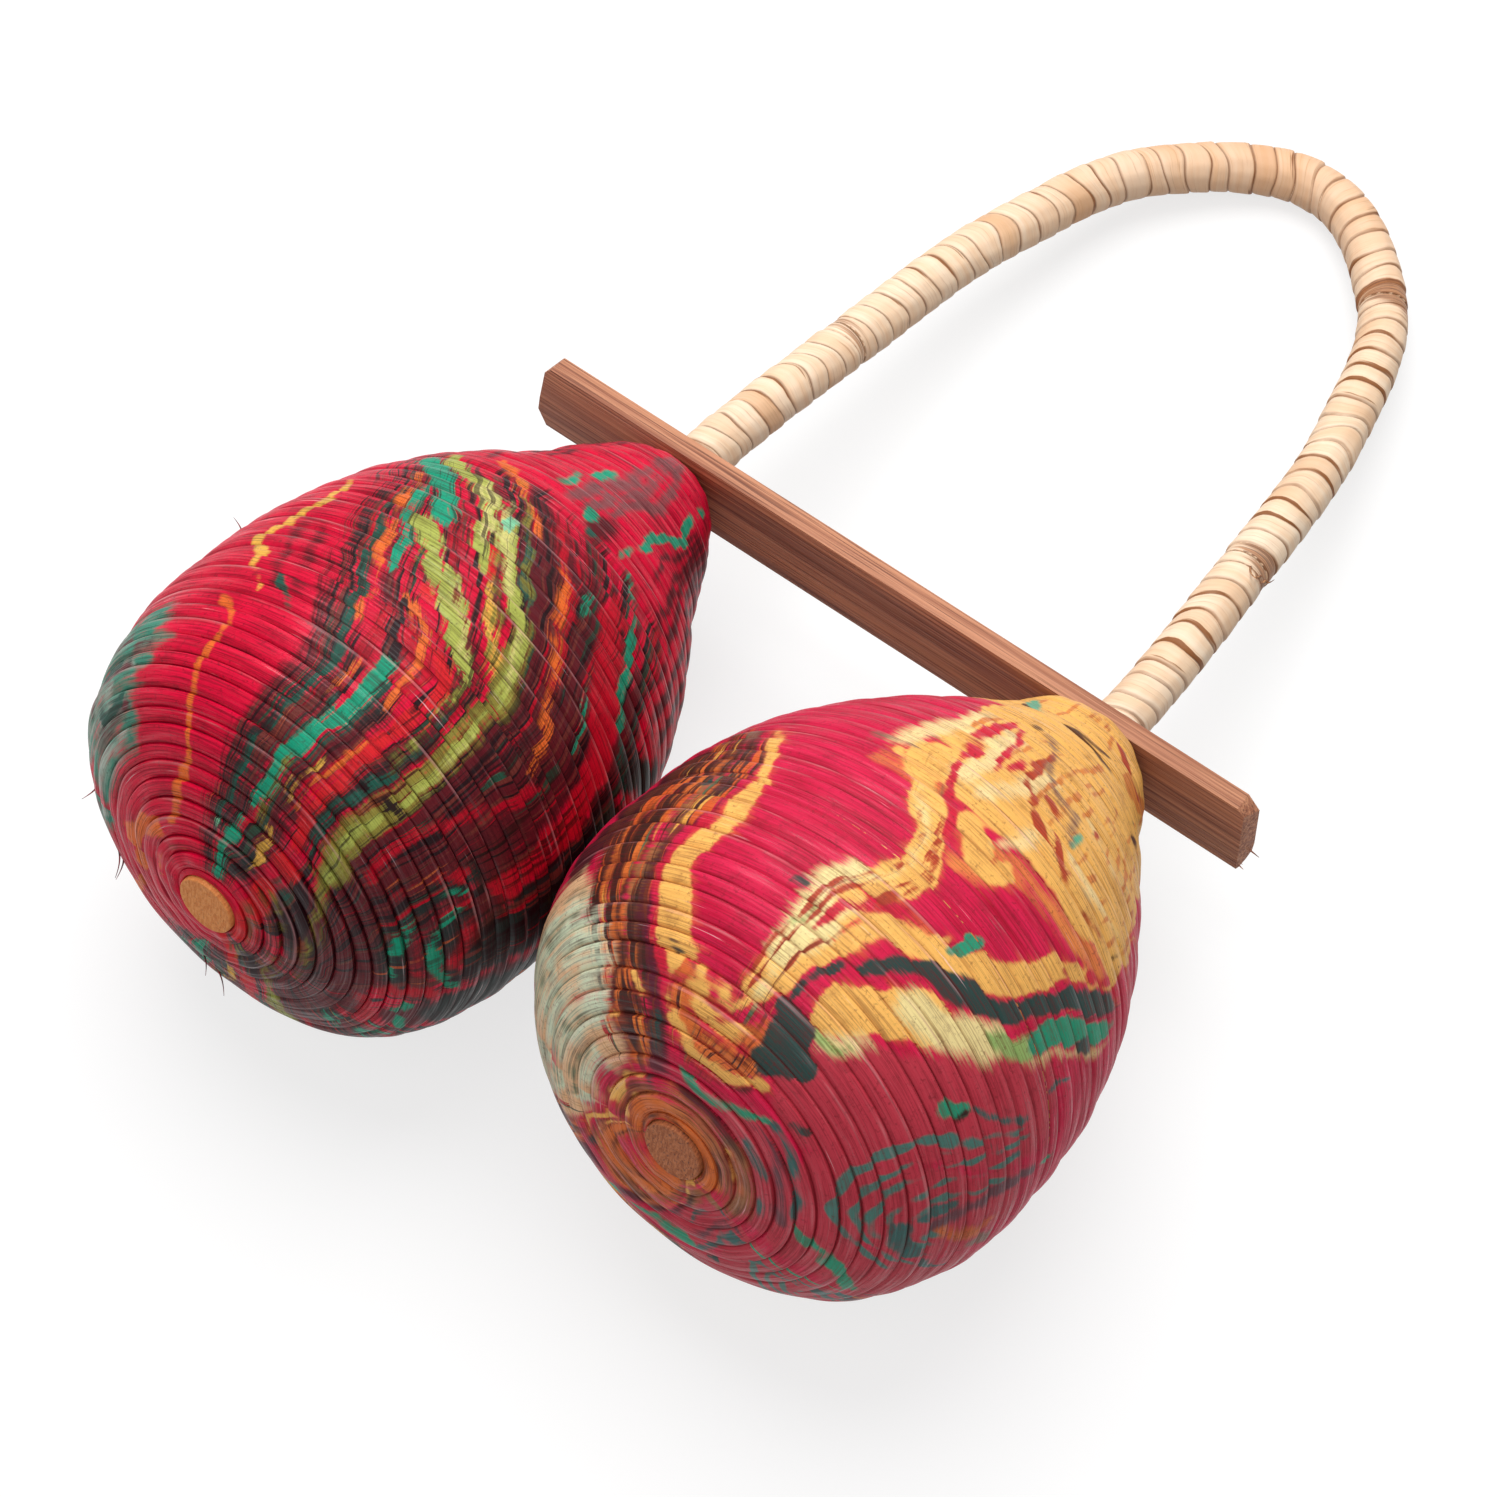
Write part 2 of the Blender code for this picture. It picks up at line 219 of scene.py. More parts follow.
# The OFBake map holds a winding's outer wall in its wide part, and the inner wall in a narrow one beside that
MAP_EDGE, MAP_RUN, OUTER_PART, INNER_START, INNER_PART = 0.005, 0.99, 0.91, 0.925, 0.07


def smooth_through(knots, steps=24):
    """A dense smooth line through the knots, as rows of coordinates."""
    knots = np.array(knots, float)
    sides = np.diff(knots, axis=0)
    spans = np.linalg.norm(sides, axis=1)[:, None]
    ways = sides / spans
    inner = ways[:-1] * spans[1:] + ways[1:] * spans[:-1]
    tangents = np.vstack((ways[:1], inner / np.linalg.norm(inner, axis=1)[:, None], ways[-1:]))
    t = np.linspace(0, 1, steps, endpoint=False)[:, None]
    line = [
        (1 - t) ** 3 * a + 3 * t * (1 - t) ** 2 * (a + u * span / 3)
        + 3 * t**2 * (1 - t) * (b - v * span / 3) + t**3 * b
        for a, b, u, v, span in zip(knots, knots[1:], tangents, tangents[1:], spans)]
    return np.vstack((*line, knots[-1:]))


def length_along(line):
    """How far along the line each of its points is."""
    return np.concatenate(((0,), np.cumsum(np.linalg.norm(np.diff(line, axis=0), axis=1))))


def waver(turn, rates, seed):
    """A smooth hand-made unevenness, about -1 to 1, that differs from one turn to the next."""
    phases = np.random.default_rng(seed).uniform(0, math.tau, len(rates))
    return sum(np.sin(math.tau * rate * turn + phase) for rate, phase in zip(rates, phases)) / len(rates) ** 0.5


def wound_edges(start, end, pitch, columns, unevenness, seed):
    """Where the strip's first edge runs, for each column of each turn. Both ends are a whole plain turn."""
    turns = round((end - start) / pitch) + 1
    turn = np.arange((turns + 1) * columns + 1) / columns
    share = np.clip((turn - 1) / (turns - 1), 0, 1)
    steady = np.sin(math.pi * share) ** 0.4
    return start + (end - start) * share + unevenness * steady * waver(turn, EDGE_RATES, seed)


def sheet_of(name, columns, rows):
    """A flat grid with its two maps, and the column and row of each of its points."""
    bpy.ops.object.select_all(action="DESELECT")
    bpy.ops.mesh.primitive_grid_add(x_subdivisions=columns - 1, y_subdivisions=rows - 1, size=1)
    made = bpy.context.object
    made.name = made.data.name = name
    places = np.empty(columns * rows * 3, np.float32)
    made.data.vertices.foreach_get("co", places)
    places = places.reshape(-1, 3) + 0.5
    made.data.uv_layers[0].name = "strip"
    made.data.uv_layers.new(name="OFBake")
    return made, np.rint(places[:, 0] * (columns - 1)).astype(int), np.rint(places[:, 1] * (rows - 1)).astype(int)


def round_the_line(line, distance, angle, height):
    """Points at an angle round a line and a height off it. A line's row holds its distance, centre, the two
    directions across, the direction along, its radius, and how much of a height goes out and along."""
    def part(first, count=3):
        return np.stack([np.interp(distance, line[:, 0], line[:, first + i]) for i in range(count)], -1)

    out = np.cos(angle)[..., None] * part(SIDE) + np.sin(angle)[..., None] * part(OTHER_SIDE)
    reach = np.maximum(part(RADIUS, 1) + height[..., None] * part(RISE_OUT, 1), CANE_HOLE)
    return part(CENTRE) + out * reach + part(ONWARD) * height[..., None] * part(RISE_ON, 1)


def put_points(piece, points):
    """Move a piece's points to these places."""
    piece.data.vertices.foreach_set("co", points.astype(np.float32).ravel())


def corners_of(piece):
    """The point at each corner of each face."""
    corners = np.empty(len(piece.data.loops), np.int32)
    piece.data.loops.foreach_get("vertex_index", corners)
    return corners


def put_map(piece, name, *places):
    """Lay the corners of a piece's faces out on one of its maps."""
    piece.data.uv_layers[name].data.foreach_set("uv", np.stack(places, -1).astype(np.float32).ravel())


def wind(name, line, edges, columns, pitch, ridge, wall, from_angle, depth, seed, solid_from=math.inf):
    """Wind a strip round a line: ridges outside, as deep as depth(angle, distance) says, and a plain wall inside that
    closes it, or is wound solid down to the cane from a distance on. Returns both walls, and for the outer points
    the turn, angle, distance and middle of the strip there."""
    count = len(edges) - columns
    outer, column, row = sheet_of(name, count, len(ridge))
    across, rise = np.array(ridge).T
    low, high = edges[:count], edges[columns:]
    turn = column / columns
    angle = from_angle + math.tau * turn
    distance = low[column] + (high - low)[column] * across[row]
    full = np.clip((high - low)[column] / pitch, 0, 1) * (1 + RIDGE_UNEVENNESS * waver(turn, RIDGE_RATES, seed))
    height = (rise[0] + (rise[row] - rise[0]) * full) * depth(angle, distance)
    put_points(outer, round_the_line(line, distance, angle, height))

    middle = (low + high) / 2
    reach = np.interp(middle, line[:, 0], line[:, RADIUS])
    run = np.concatenate(((0,), np.cumsum((reach[1:] + reach[:-1]) / 2 * math.tau / columns)))
    corners = corners_of(outer)
    on_face = column[corners].reshape(-1, 4)
    first = on_face.min(1, keepdims=True)
    spread = (first % columns + on_face - first) / columns
    share = (distance[corners] - edges[0]) / (edges[-1] - edges[0])
    put_map(outer, "strip", run[column[corners]], across[row[corners]])
    put_map(outer, "OFBake", MAP_EDGE + OUTER_PART * spread.ravel(), MAP_EDGE + MAP_RUN * share)

    levels = np.concatenate((edges[-1:], np.linspace(edges[-1], edges[0], INNER_ROWS), edges[:1]))
    last = len(levels) - 1
    inner, column_in, row_in = sheet_of(name + "_inside", columns + 1, len(levels))
    angle_in = from_angle + math.tau * column_in / columns
    level = levels[row_in]
    rim = (row_in == 0) | (row_in == last)
    sunk = np.where(rim, rise[0] * depth(angle_in, level), -wall)
    straight_in = np.column_stack((line[:, :RISE_ON], np.zeros(len(line))))
    on_cane = round_the_line(straight_in, level, angle_in, np.full(len(row_in), -1.0))
    solid = ~rim & (level > solid_from)
    put_points(inner, np.where(solid[:, None], on_cane, round_the_line(line, level, angle_in, sunk)))
    corners = corners_of(inner)
    across_map = INNER_START + INNER_PART * row_in[corners] / last
    put_map(inner, "OFBake", across_map, MAP_EDGE + MAP_RUN * column_in[corners] / columns)
    return outer, inner, turn, angle, distance, middle[column]


def pick(*pieces):
    """Select these pieces alone, the last of them active."""
    bpy.ops.object.select_all(action="DESELECT")
    for piece in pieces:
        piece.select_set(True)
    bpy.context.view_layer.objects.active = pieces[-1]


def close_up(outer, inner):
    """Join the two walls of a winding, weld where turns and walls meet, and smooth all but the sharp lips."""
    pick(inner, outer)
    bpy.ops.object.join()
    bpy.ops.object.mode_set(mode="EDIT")
    bpy.ops.mesh.select_all(action="SELECT")
    bpy.ops.mesh.remove_doubles(threshold=0.000002)
    bpy.ops.object.mode_set(mode="OBJECT")
    bpy.ops.object.shade_smooth_by_angle(angle=math.radians(50))


def mark(piece, name, values):
    """Write a value for each point of a piece, for its material to read."""
    piece.data.attributes.new(name, "FLOAT", "POINT").data.foreach_set("value", values.astype(np.float32))


def marked(tree, name):
    """What was marked on the piece under this name."""
    return place(tree, "ShaderNodeAttribute", {}, attribute_name=name).outputs["Fac"]


def new_group(name, inputs, outputs):
    """A node group with these values in and out, and its two ends."""
    group = bpy.data.node_groups.new(name, "ShaderNodeTree")
    for socket, start in inputs.items():
        group.interface.new_socket(socket, in_out="INPUT", socket_type="NodeSocketFloat").default_value = start
    for socket in outputs:
        group.interface.new_socket(socket, in_out="OUTPUT", socket_type="NodeSocketFloat")
    return group, place(group, "NodeGroupInput", {}), place(group, "NodeGroupOutput", {})


# Fibres of a split strip: streaks that run with it, fine and coarse, from its own map
streaks, given, put = new_group("fibre_streaks", {"Width": 0.003}, ("Fine", "Coarse", "Across"))
strip_map = place(streaks, "ShaderNodeUVMap", {}, uv_map="strip").outputs[0]
parted = place(streaks, "ShaderNodeSeparateXYZ", {0: strip_map})
across_width = counted(streaks, "MULTIPLY", parted.outputs[1], given.outputs["Width"])
strip_place = place(streaks, "ShaderNodeCombineXYZ", {0: parted.outputs[0], 1: across_width}).outputs[0]
feed(streaks, put, {
    "Fine": noise_on(streaks, strip_place, (70, 2300, 1), 4.0, 0.62),
    "Coarse": noise_on(streaks, strip_place, (45, 560, 1), 3.0, 0.6),
    "Across": parted.outputs[1]})

flat_place = Matrix.Translation(CROSSBAR_MIDDLE) @ FLAT_AXES.to_4x4()
legs = [(LEG_HALF * width, HANDLE_REACH * share, 0) for share, width in HANDLE_OUTLINE]
handle = smooth_through(
    [(-LEG_HALF, 0, 0), *((-x, y, z) for x, y, z in legs), (0, HANDLE_REACH, 0), *reversed(legs), (LEG_HALF, 0, 0)])
handle_run = length_along(handle)
handle_way = np.gradient(handle, handle_run, axis=0)
handle_way /= np.linalg.norm(handle_way, axis=1)[:, None]
turn_flat = np.array(FLAT_AXES)
handle_up = np.tile(turn_flat @ (0, 0, 1), (len(handle), 1))
handle_way = handle_way @ turn_flat.T
handle_line = np.column_stack((
    handle_run, handle @ turn_flat.T + np.array(CROSSBAR_MIDDLE),
    handle_up, np.cross(handle_way, handle_up), handle_way, np.full(len(handle), WRAP_RADIUS),
    np.ones(len(handle)), np.zeros(len(handle))))

split_rattan, tree, surface = shown_by("split_rattan")
fibre = place(tree, "ShaderNodeGroup", {"Width": STRIP_WIDTH}, node_tree=streaks)
fine, coarse, across = (fibre.outputs[key] for key in ("Fine", "Coarse", "Across"))
shade_of_turn, near_join, tanned, whole = (
    marked(tree, name) for name in ("turn_shade", "near_join", "tanned", "whole_turn"))
tone = mixed(tree, ramped(tree, coarse, 0.3, 0.72), tint(255, 230, 202), tint(246, 208, 170))
tone = mixed(tree, ramped(tree, shade_of_turn, 0.0, 1.8, 0, 0.7), tone, tint(222, 170, 124))
tone = mixed(tree, tanned, tone, tint(224, 164, 116))
tone = mixed(tree, ramped(tree, fine, 0.54, 0.76, 0, 0.6), tone, tint(190, 138, 94))
full_width = ramped(tree, whole, 0.3, 0.8)
torn = counted(tree, "ADD", across, ramped(tree, coarse, 0.5, 0.74, 0, 0.26))
edge = counted(tree, "MULTIPLY", ramped(tree, torn, 0.88, 0.99), full_width)
edge = counted(tree, "MULTIPLY", edge, ramped(tree, coarse, 0.35, 0.6, 0.3, 1.0))
tone = mixed(tree, edge, tone, tint(150, 96, 56))
# Painted shade in the groove where each turn meets the lip of the turn before
crease_shade = counted(tree, "MULTIPLY", ramped(tree, across, 0.10, 0.0, 0, 0.75), full_width)
tone = mixed(tree, crease_shade, tone, tint(120, 74, 44))
frayed = counted(tree, "ADD", near_join, counted(tree, "SUBTRACT", coarse, 0.5))
bared = mixed(tree, ramped(tree, fine, 0.4, 0.6), tint(186, 126, 84), tint(112, 66, 40))
tone = mixed(tree, ramped(tree, frayed, 0.36, 0.6, 0, 0.85), tone, bared)
feed(tree, surface, {"Specular IOR Level": 0.3})
finished(tree, surface, tone, ramped(tree, fine, 0.3, 0.7, 0.42, 0.62), fine)

WRAP_RIDGE = (
    (0, -0.00030), (0.07, -0.00012), (0.2, -0.00002), (0.5, 0.00004), (0.84, 0.00009), (0.94, 0.00003), (1, -0.00030))
JOIN_WEAR = (0.75, 0.6, 1.0, 0.85, 0.9)
FRAYED_REACH = 0.007
TANNED_AT, TANNED_SPREAD, TANNED_MOST = 0.47, 0.14, 0.6
SHADE_RATES = (0.21, 0.47, 0.91)
EDGE_SEED, RIDGE_SEED, SHADE_SEED = 20, 40, 60
for index, name in enumerate(WRAP_NAMES):
    start, end = (share * handle_run[-1] for share in WRAP_ENDS[index:index + 2])
    edges = wound_edges(
        start + WRAP_END_GAP, end - WRAP_END_GAP, WRAP_PITCH, WRAP_COLUMNS, WRAP_UNEVENNESS, EDGE_SEED + index)
    wrap, inside, turn, angle, distance, _ = wind(
        name + "_strip", handle_line, edges, WRAP_COLUMNS, WRAP_PITCH, WRAP_RIDGE, WRAP_THICKNESS, math.pi,
        lambda angle, distance: np.ones(len(angle)), RIDGE_SEED + index)
    mark(wrap, "turn_shade", waver(turn, SHADE_RATES, SHADE_SEED + index))
    column = np.rint(turn * WRAP_COLUMNS).astype(int)
    mark(wrap, "whole_turn", np.clip((edges[column + WRAP_COLUMNS] - edges[column]) / WRAP_PITCH, 0, 1))
    from_join = (distance - start) / FRAYED_REACH, (end - distance) / FRAYED_REACH
    bare = [np.clip(1 - away, 0, 1) * JOIN_WEAR[index + last] for last, away in enumerate(from_join)]
    mark(wrap, "near_join", np.maximum(*bare) * (0.7 + 0.3 * np.cos(angle + 0.6 * index)))
    from_bend = (distance / handle_run[-1] - TANNED_AT) / TANNED_SPREAD
    mark(wrap, "tanned", TANNED_MOST * np.exp(-from_bend ** 2) * (0.8 - 0.2 * np.sin(angle)))
    close_up(wrap, inside)
    wrap.data.materials.append(split_rattan)
    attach(wrap, "frame")
    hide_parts(name)

# Torn fibre ends at the last join: each as distance from the join and degrees round the cane, then how far its
# end goes on along and round
JOIN_FIBRES = (
    (0.0015, -55, 0.0050, 26), (0.0005, -78, 0.0065, 34), (-0.0008, -98, 0.0040, 40), (0.0022, -20, 0.0045, -18))
JOIN_FIBRE_RADIUS = 0.00022
FIBRE_LIFT, FIBRE_SINK, FIBRE_CURL, FIBRE_TAPER = 0.0028, 0.0002, 0.3, 0.8
torn_rattan, tree, surface = shown_by("torn_rattan")
mottle = noise_on(tree, on_piece(tree), (800, 800, 800))
tone = mixed(tree, ramped(tree, mottle, 0.35, 0.65), tint(206, 150, 104), tint(116, 70, 42))
finished(tree, surface, tone, 0.7)


def fibre_ends(name, line, ends, radius, material):
    """Hair-thin tapered ends that lie on a winding at their root and lift off it towards their tip."""
    made = []
    for distance, degrees, onward, swing in ends:
        share = np.linspace(0, 1, 5)
        places = round_the_line(
            line, distance + onward * share * (1 - FIBRE_CURL * share), np.radians(degrees + swing * share),
            FIBRE_LIFT * share**2 - FIBRE_SINK)
        bpy.ops.object.select_all(action="DESELECT")
        bpy.ops.curve.primitive_nurbs_path_add()
        path = bpy.context.object
        for point, spot, thin in zip(path.data.splines[0].points, places, 1 - FIBRE_TAPER * share):
            point.co = (*spot, 1)
            point.radius = thin
        path.data.bevel_depth = radius
        path.data.bevel_resolution = 1
        path.data.use_fill_caps = True
        bpy.ops.object.convert(target="MESH")
        made.append(path)
    pick(*made)
    bpy.ops.object.join()
    joined = bpy.context.object
    joined.name = joined.data.name = name
    bpy.ops.object.shade_smooth()
    joined.data.materials.append(material)
    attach(joined, "frame")


last_join = WRAP_ENDS[3] * handle_run[-1]
fibre_ends(
    "join_fibre_ends", handle_line, [(last_join + where, *rest) for where, *rest in JOIN_FIBRES],
    JOIN_FIBRE_RADIUS, torn_rattan)


# The crossbar is a split, hand-planed hardwood lath with a hole for each end of the cane. Its ends are cut with
# a knife: the left one is chipped at the top, and the right one has a slanted corner and a splintered tip.
LATH_SIZE = (0.1472, 0.0039, 0.0135)
END, TOP = LATH_SIZE[0] / 2, LATH_SIZE[2] / 2
LATH_EDGE = 0.00035
HOLE_SIDES, DRILL_LENGTH = 48, 0.02
# Each cut as a point on it and the way it faces, and each splinter as its slant, its radius and its place
KNIFE_CUTS = (
    ((-END + 0.0016, 0, TOP), (-0.75, 0.0, 0.62)), ((-END, 0, -TOP + 0.0024), (-0.8, -0.1, -0.6)),
    ((-END + 0.0005, 0, 0), (-1, 0.22, 0.06)), ((END - 0.0034, 0, TOP), (0.62, 0.05, 0.80)),
    ((END - 0.0002, 0, -TOP + 0.002), (1, -0.2, 0.12)), ((END - 0.0012, 0, -TOP), (0.5, 0.4, -0.85)))
SPLINTERS = (
    (1.9, 0.00045, (END - 0.0016, -0.0009, -TOP + 0.0004)), (2.15, 0.0003, (END - 0.0022, 0.0004, -TOP + 0.0002)),
    (1.75, 0.00035, (END - 0.0004, 0.0010, -TOP + 0.0026)))
SPLINTER_LENGTH, SPLINTER_TIP = 0.0046, 0.00005


def rub_edges(piece, width, sharper_than):
    """Round off a piece's edges that are sharper than these degrees."""
    pick(piece)
    soft_edge = piece.modifiers.new("rubbed_edges", "BEVEL")
    soft_edge.width = width
    soft_edge.segments = 3
    soft_edge.limit_method = "ANGLE"
    soft_edge.angle_limit = math.radians(sharper_than)
    bpy.ops.object.modifier_apply(modifier="rubbed_edges")


bpy.ops.object.select_all(action="DESELECT")
bpy.ops.mesh.primitive_cube_add(size=1)
lath = bpy.context.object
lath.name = lath.data.name = "crossbar_lath"
lath.scale = LATH_SIZE
bpy.ops.object.transform_apply(location=False, rotation=False, scale=True)
bpy.ops.object.mode_set(mode="EDIT")
for corner, facing in KNIFE_CUTS:
    bpy.ops.mesh.select_all(action="SELECT")
    bpy.ops.mesh.bisect(plane_co=corner, plane_no=facing, use_fill=True, clear_outer=True)
bpy.ops.object.mode_set(mode="OBJECT")
for side in (-1, 1):
    bpy.ops.object.select_all(action="DESELECT")
    bpy.ops.mesh.primitive_cylinder_add(
        vertices=HOLE_SIDES, radius=CANE_HOLE, depth=DRILL_LENGTH, location=(side * LEG_HALF, 0, 0),
        rotation=(math.pi / 2, 0, 0))
    drill = bpy.context.object
    hole = lath.modifiers.new("hole", "BOOLEAN")
    hole.operation = "DIFFERENCE"
    hole.solver = "EXACT"
    hole.object = drill
    pick(lath)
    bpy.ops.object.modifier_apply(modifier="hole")
    bpy.data.objects.remove(drill)
for slant, size, place_at in SPLINTERS:
    bpy.ops.object.select_all(action="DESELECT")
    bpy.ops.mesh.primitive_cone_add(
        vertices=7, radius1=size, radius2=SPLINTER_TIP, depth=SPLINTER_LENGTH, location=place_at,
        rotation=(0, slant, 0))
    pick(bpy.context.object, lath)
    bpy.ops.object.join()
rub_edges(lath, LATH_EDGE, 35)
bpy.ops.object.mode_set(mode="EDIT")
bpy.ops.mesh.select_all(action="SELECT")
bpy.ops.mesh.dissolve_degenerate(threshold=0.000004)
bpy.ops.object.mode_set(mode="OBJECT")
bpy.ops.object.shade_smooth_by_angle(angle=math.radians(40))
lath.data.transform(flat_place)

planed_lath, tree, surface = shown_by("planed_lath")
here = on_piece(tree)
grain = noise_on(tree, here, (14, 900, 1300), 4.0, 0.6)
fine_grain = noise_on(tree, here, (36, 2600, 3600), 2.0, 0.6)
patch = noise_on(tree, here, (30, 120, 120), 2.0, 0.5)
tone = mixed(tree, ramped(tree, grain, 0.34, 0.64), tint(204, 140, 104), tint(154, 92, 64))
tone = mixed(tree, ramped(tree, fine_grain, 0.50, 0.68, 0, 0.85), tone, tint(100, 54, 38))
tone = mixed(tree, ramped(tree, patch, 0.55, 0.8, 0, 0.35), tone, tint(196, 146, 104))
rough = ramped(tree, fine_grain, 0.3, 0.7, 0.5, 0.7)
finished(tree, surface, tone, rough, counted(tree, "ADD", grain, fine_grain), 0.55, 0.0003)
lath.data.materials.append(planed_lath)
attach(lath, "frame")
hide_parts("crossbar")


# The rattling filling is a handful of dry brown seeds in each head, each a flattened bean with a seam round it
# and a dent where it was held. They lie loose on the wall of the head.
SEED_RADIUS = 0.0028
SEED_COUNT = 8
BEAN_THICKNESS, BEAN_TAPER, BEAN_HEIGHT = 0.84, 0.10, 0.92
DENT_DEPTH, DENT_WIDTH, DENT_AT, DENT_REACH = 0.30, 0.35, 0.9, 0.5
SEAM_DEPTH, SEAM_WIDTH = 0.05, 0.09
ROLL_ROUND, ROLL_OVER = 1.7, 0.9
bpy.ops.object.select_all(action="DESELECT")
bpy.ops.mesh.primitive_ico_sphere_add(subdivisions=4, radius=SEED_RADIUS)
bean = bpy.context.object
bean.name = bean.data.name = "bean"
for point in bean.data.vertices:
    x, y, z = point.co / SEED_RADIUS
    dent = DENT_DEPTH * math.exp(-((x / DENT_WIDTH) ** 2 + ((z - DENT_AT) / DENT_REACH) ** 2))
    seam = 1 - SEAM_DEPTH * math.exp(-((y / SEAM_WIDTH) ** 2))
    across, up = y * BEAN_THICKNESS * (1 - BEAN_TAPER * z), z * BEAN_HEIGHT * seam - dent
    point.co = Vector((x * seam, across, up)) * SEED_RADIUS
bpy.ops.object.shade_smooth()
dry_seed, tree, surface = shown_by("dry_seed")
here = on_piece(tree)
mottle = noise_on(tree, here, (700, 700, 700), 4.0, 0.6)
speck = noise_on(tree, here, (2600, 2600, 2600), 2.0, 0.5)
tone = mixed(tree, ramped(tree, mottle, 0.35, 0.65), tint(92, 54, 32), tint(158, 104, 62))
tone = mixed(tree, ramped(tree, speck, 0.60, 0.70, 0, 0.7), tone, tint(52, 30, 20))
finished(tree, surface, tone, ramped(tree, mottle, 0.2, 0.8, 0.32, 0.55), mottle, 0.3)
bean.data.materials.append(dry_seed)
for side in ("left", "right"):
    for number in range(1, SEED_COUNT + 1):
        name = f"{side}_seed_{number}"
        low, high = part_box(name)
        seed = bean.copy()
        seed.data = bean.data.copy()
        seed.name = seed.data.name = name + "_bean"
        scene.collection.objects.link(seed)
        roll = Matrix.Rotation(ROLL_ROUND * number, 4, "Z")
        roll = roll @ Matrix.Rotation(ROLL_OVER * number + (side == "left"), 4, "X")
        seed.data.transform(Matrix.Translation((low + high) / 2) @ roll)
        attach(seed, name)
        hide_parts(name)
bpy.data.objects.remove(bean)


# Each head is a hollow egg of one long fibre strip, wound edge over edge round a core and glued, then dipped in
# floating paints and varnished. Every turn is a low rounded ridge, and the marbling jogs a little from turn to turn.
HEADS = {
    "left": {
        "pole": (-0.04399541, -0.13020808, 0.04876316), "axis": (0.00854671, 0.98660827, -0.16288459),
        "length": 0.1207, "belly": 0.0416, "neck": 0.0056, "pitch": 0.0030, "halves": ((0.060, 600), (None, 420)),
        "seed": 40,
        "outline": (
            (0.03, 0.46), (0.10, 0.85), (0.22, 0.99), (0.36, 1.0), (0.52, 0.93),
            (0.70, 0.715), (0.82, 0.49), (0.90, 0.375), (0.96, 0.265))},
    "right": {
        "pole": (0.0408928, -0.12068195, 0.0520417), "axis": (0.02936957, 0.97816485, -0.20574526),
        "length": 0.1117, "belly": 0.0435, "neck": 0.0090, "pitch": 0.0034, "halves": ((0.062, 640), (None, 480)),
        "seed": 47,
        "outline": (
            (0.03, 0.60), (0.10, 0.84), (0.22, 0.987), (0.36, 1.0), (0.52, 0.94),
            (0.70, 0.73), (0.82, 0.53), (0.90, 0.385), (0.96, 0.305))},
}
PLUG_HOLE = 0.0056
SHELL_WALL = 0.0025
NECK_CORE = 0.018
EDGE_UNEVENNESS = 0.00035
HEAD_RIDGE = (
    (0, -0.00034), (0.10, -0.00014), (0.28, -0.00002), (0.55, 0.00004), (0.84, 0.00006), (0.94, 0.0), (1, -0.00034))
# How deep the ridges are, and what is rubbed off them round a spot near the top of the belly
RIDGE_DEPTH, RUBBED_OFF = 1.8, 1.1
RUBBED_ANGLE, RUBBED_DEGREES = 0.25, 34
RUBBED_AT, RUBBED_LENGTH = 0.052, 0.036
# How an edge of paint breaks up along the fibres: reach of its teeth and softness, in millimetres
FINE, CRISP, LOOSE, HATCHED = (1.0, 0.25), (2.6, 0.35), (4.4, 0.7), (8.0, 1.1)

# The lines that the paints follow where they were drawn out side by side, each as degrees round the head from its
# top and millimetres along its outline from the plug
LEFT_FLOW = (
    ((-8, 4), (-6, 25), (-5, 38), (-8, 50), (-15, 60), (-22, 70), (-28, 80), (-35, 90), (-47, 100)),
    ((1, 4), (2, 30), (2, 46), (-2.5, 55), (-8, 60), (-13, 65), (-18.5, 75), (-25, 85), (-35, 95), (-42, 100)),
    ((14, 4), (13, 28), (15, 48), (15, 55), (11, 60), (4, 65), (-5.5, 75), (-14.5, 85), (-28, 95), (-36, 100)),
    ((30, 4), (29, 15), (25, 34), (26, 50), (25.5, 55), (17, 65), (6.5, 75), (-4, 85), (-18, 95), (-27, 100)),
    ((112, 4), (104, 11), (88, 14.5), (62, 18), (53, 20.5), (45, 25), (38.5, 34), (38.5, 55), (36, 65), (28.5, 75),
     (16, 85), (4, 95), (-6, 100)),
    ((114, 4), (108, 12), (96, 15), (76, 18), (64, 21), (56, 26), (52, 34), (52, 55), (48, 65), (40, 75), (30, 85),
     (20, 95), (12, 100)),
    ((116, 4), (112, 12), (104, 15), (92, 18), (80, 22), (70, 27), (64, 34), (63, 55), (60, 65), (53, 75), (44.5, 85),
     (37.5, 95), (34, 100)),
    ((118, 4), (117, 12), (114, 18), (106, 24), (98, 30), (92, 36), (88, 45), (85, 60), (79, 70), (70, 80), (62, 90),
     (55, 100)))

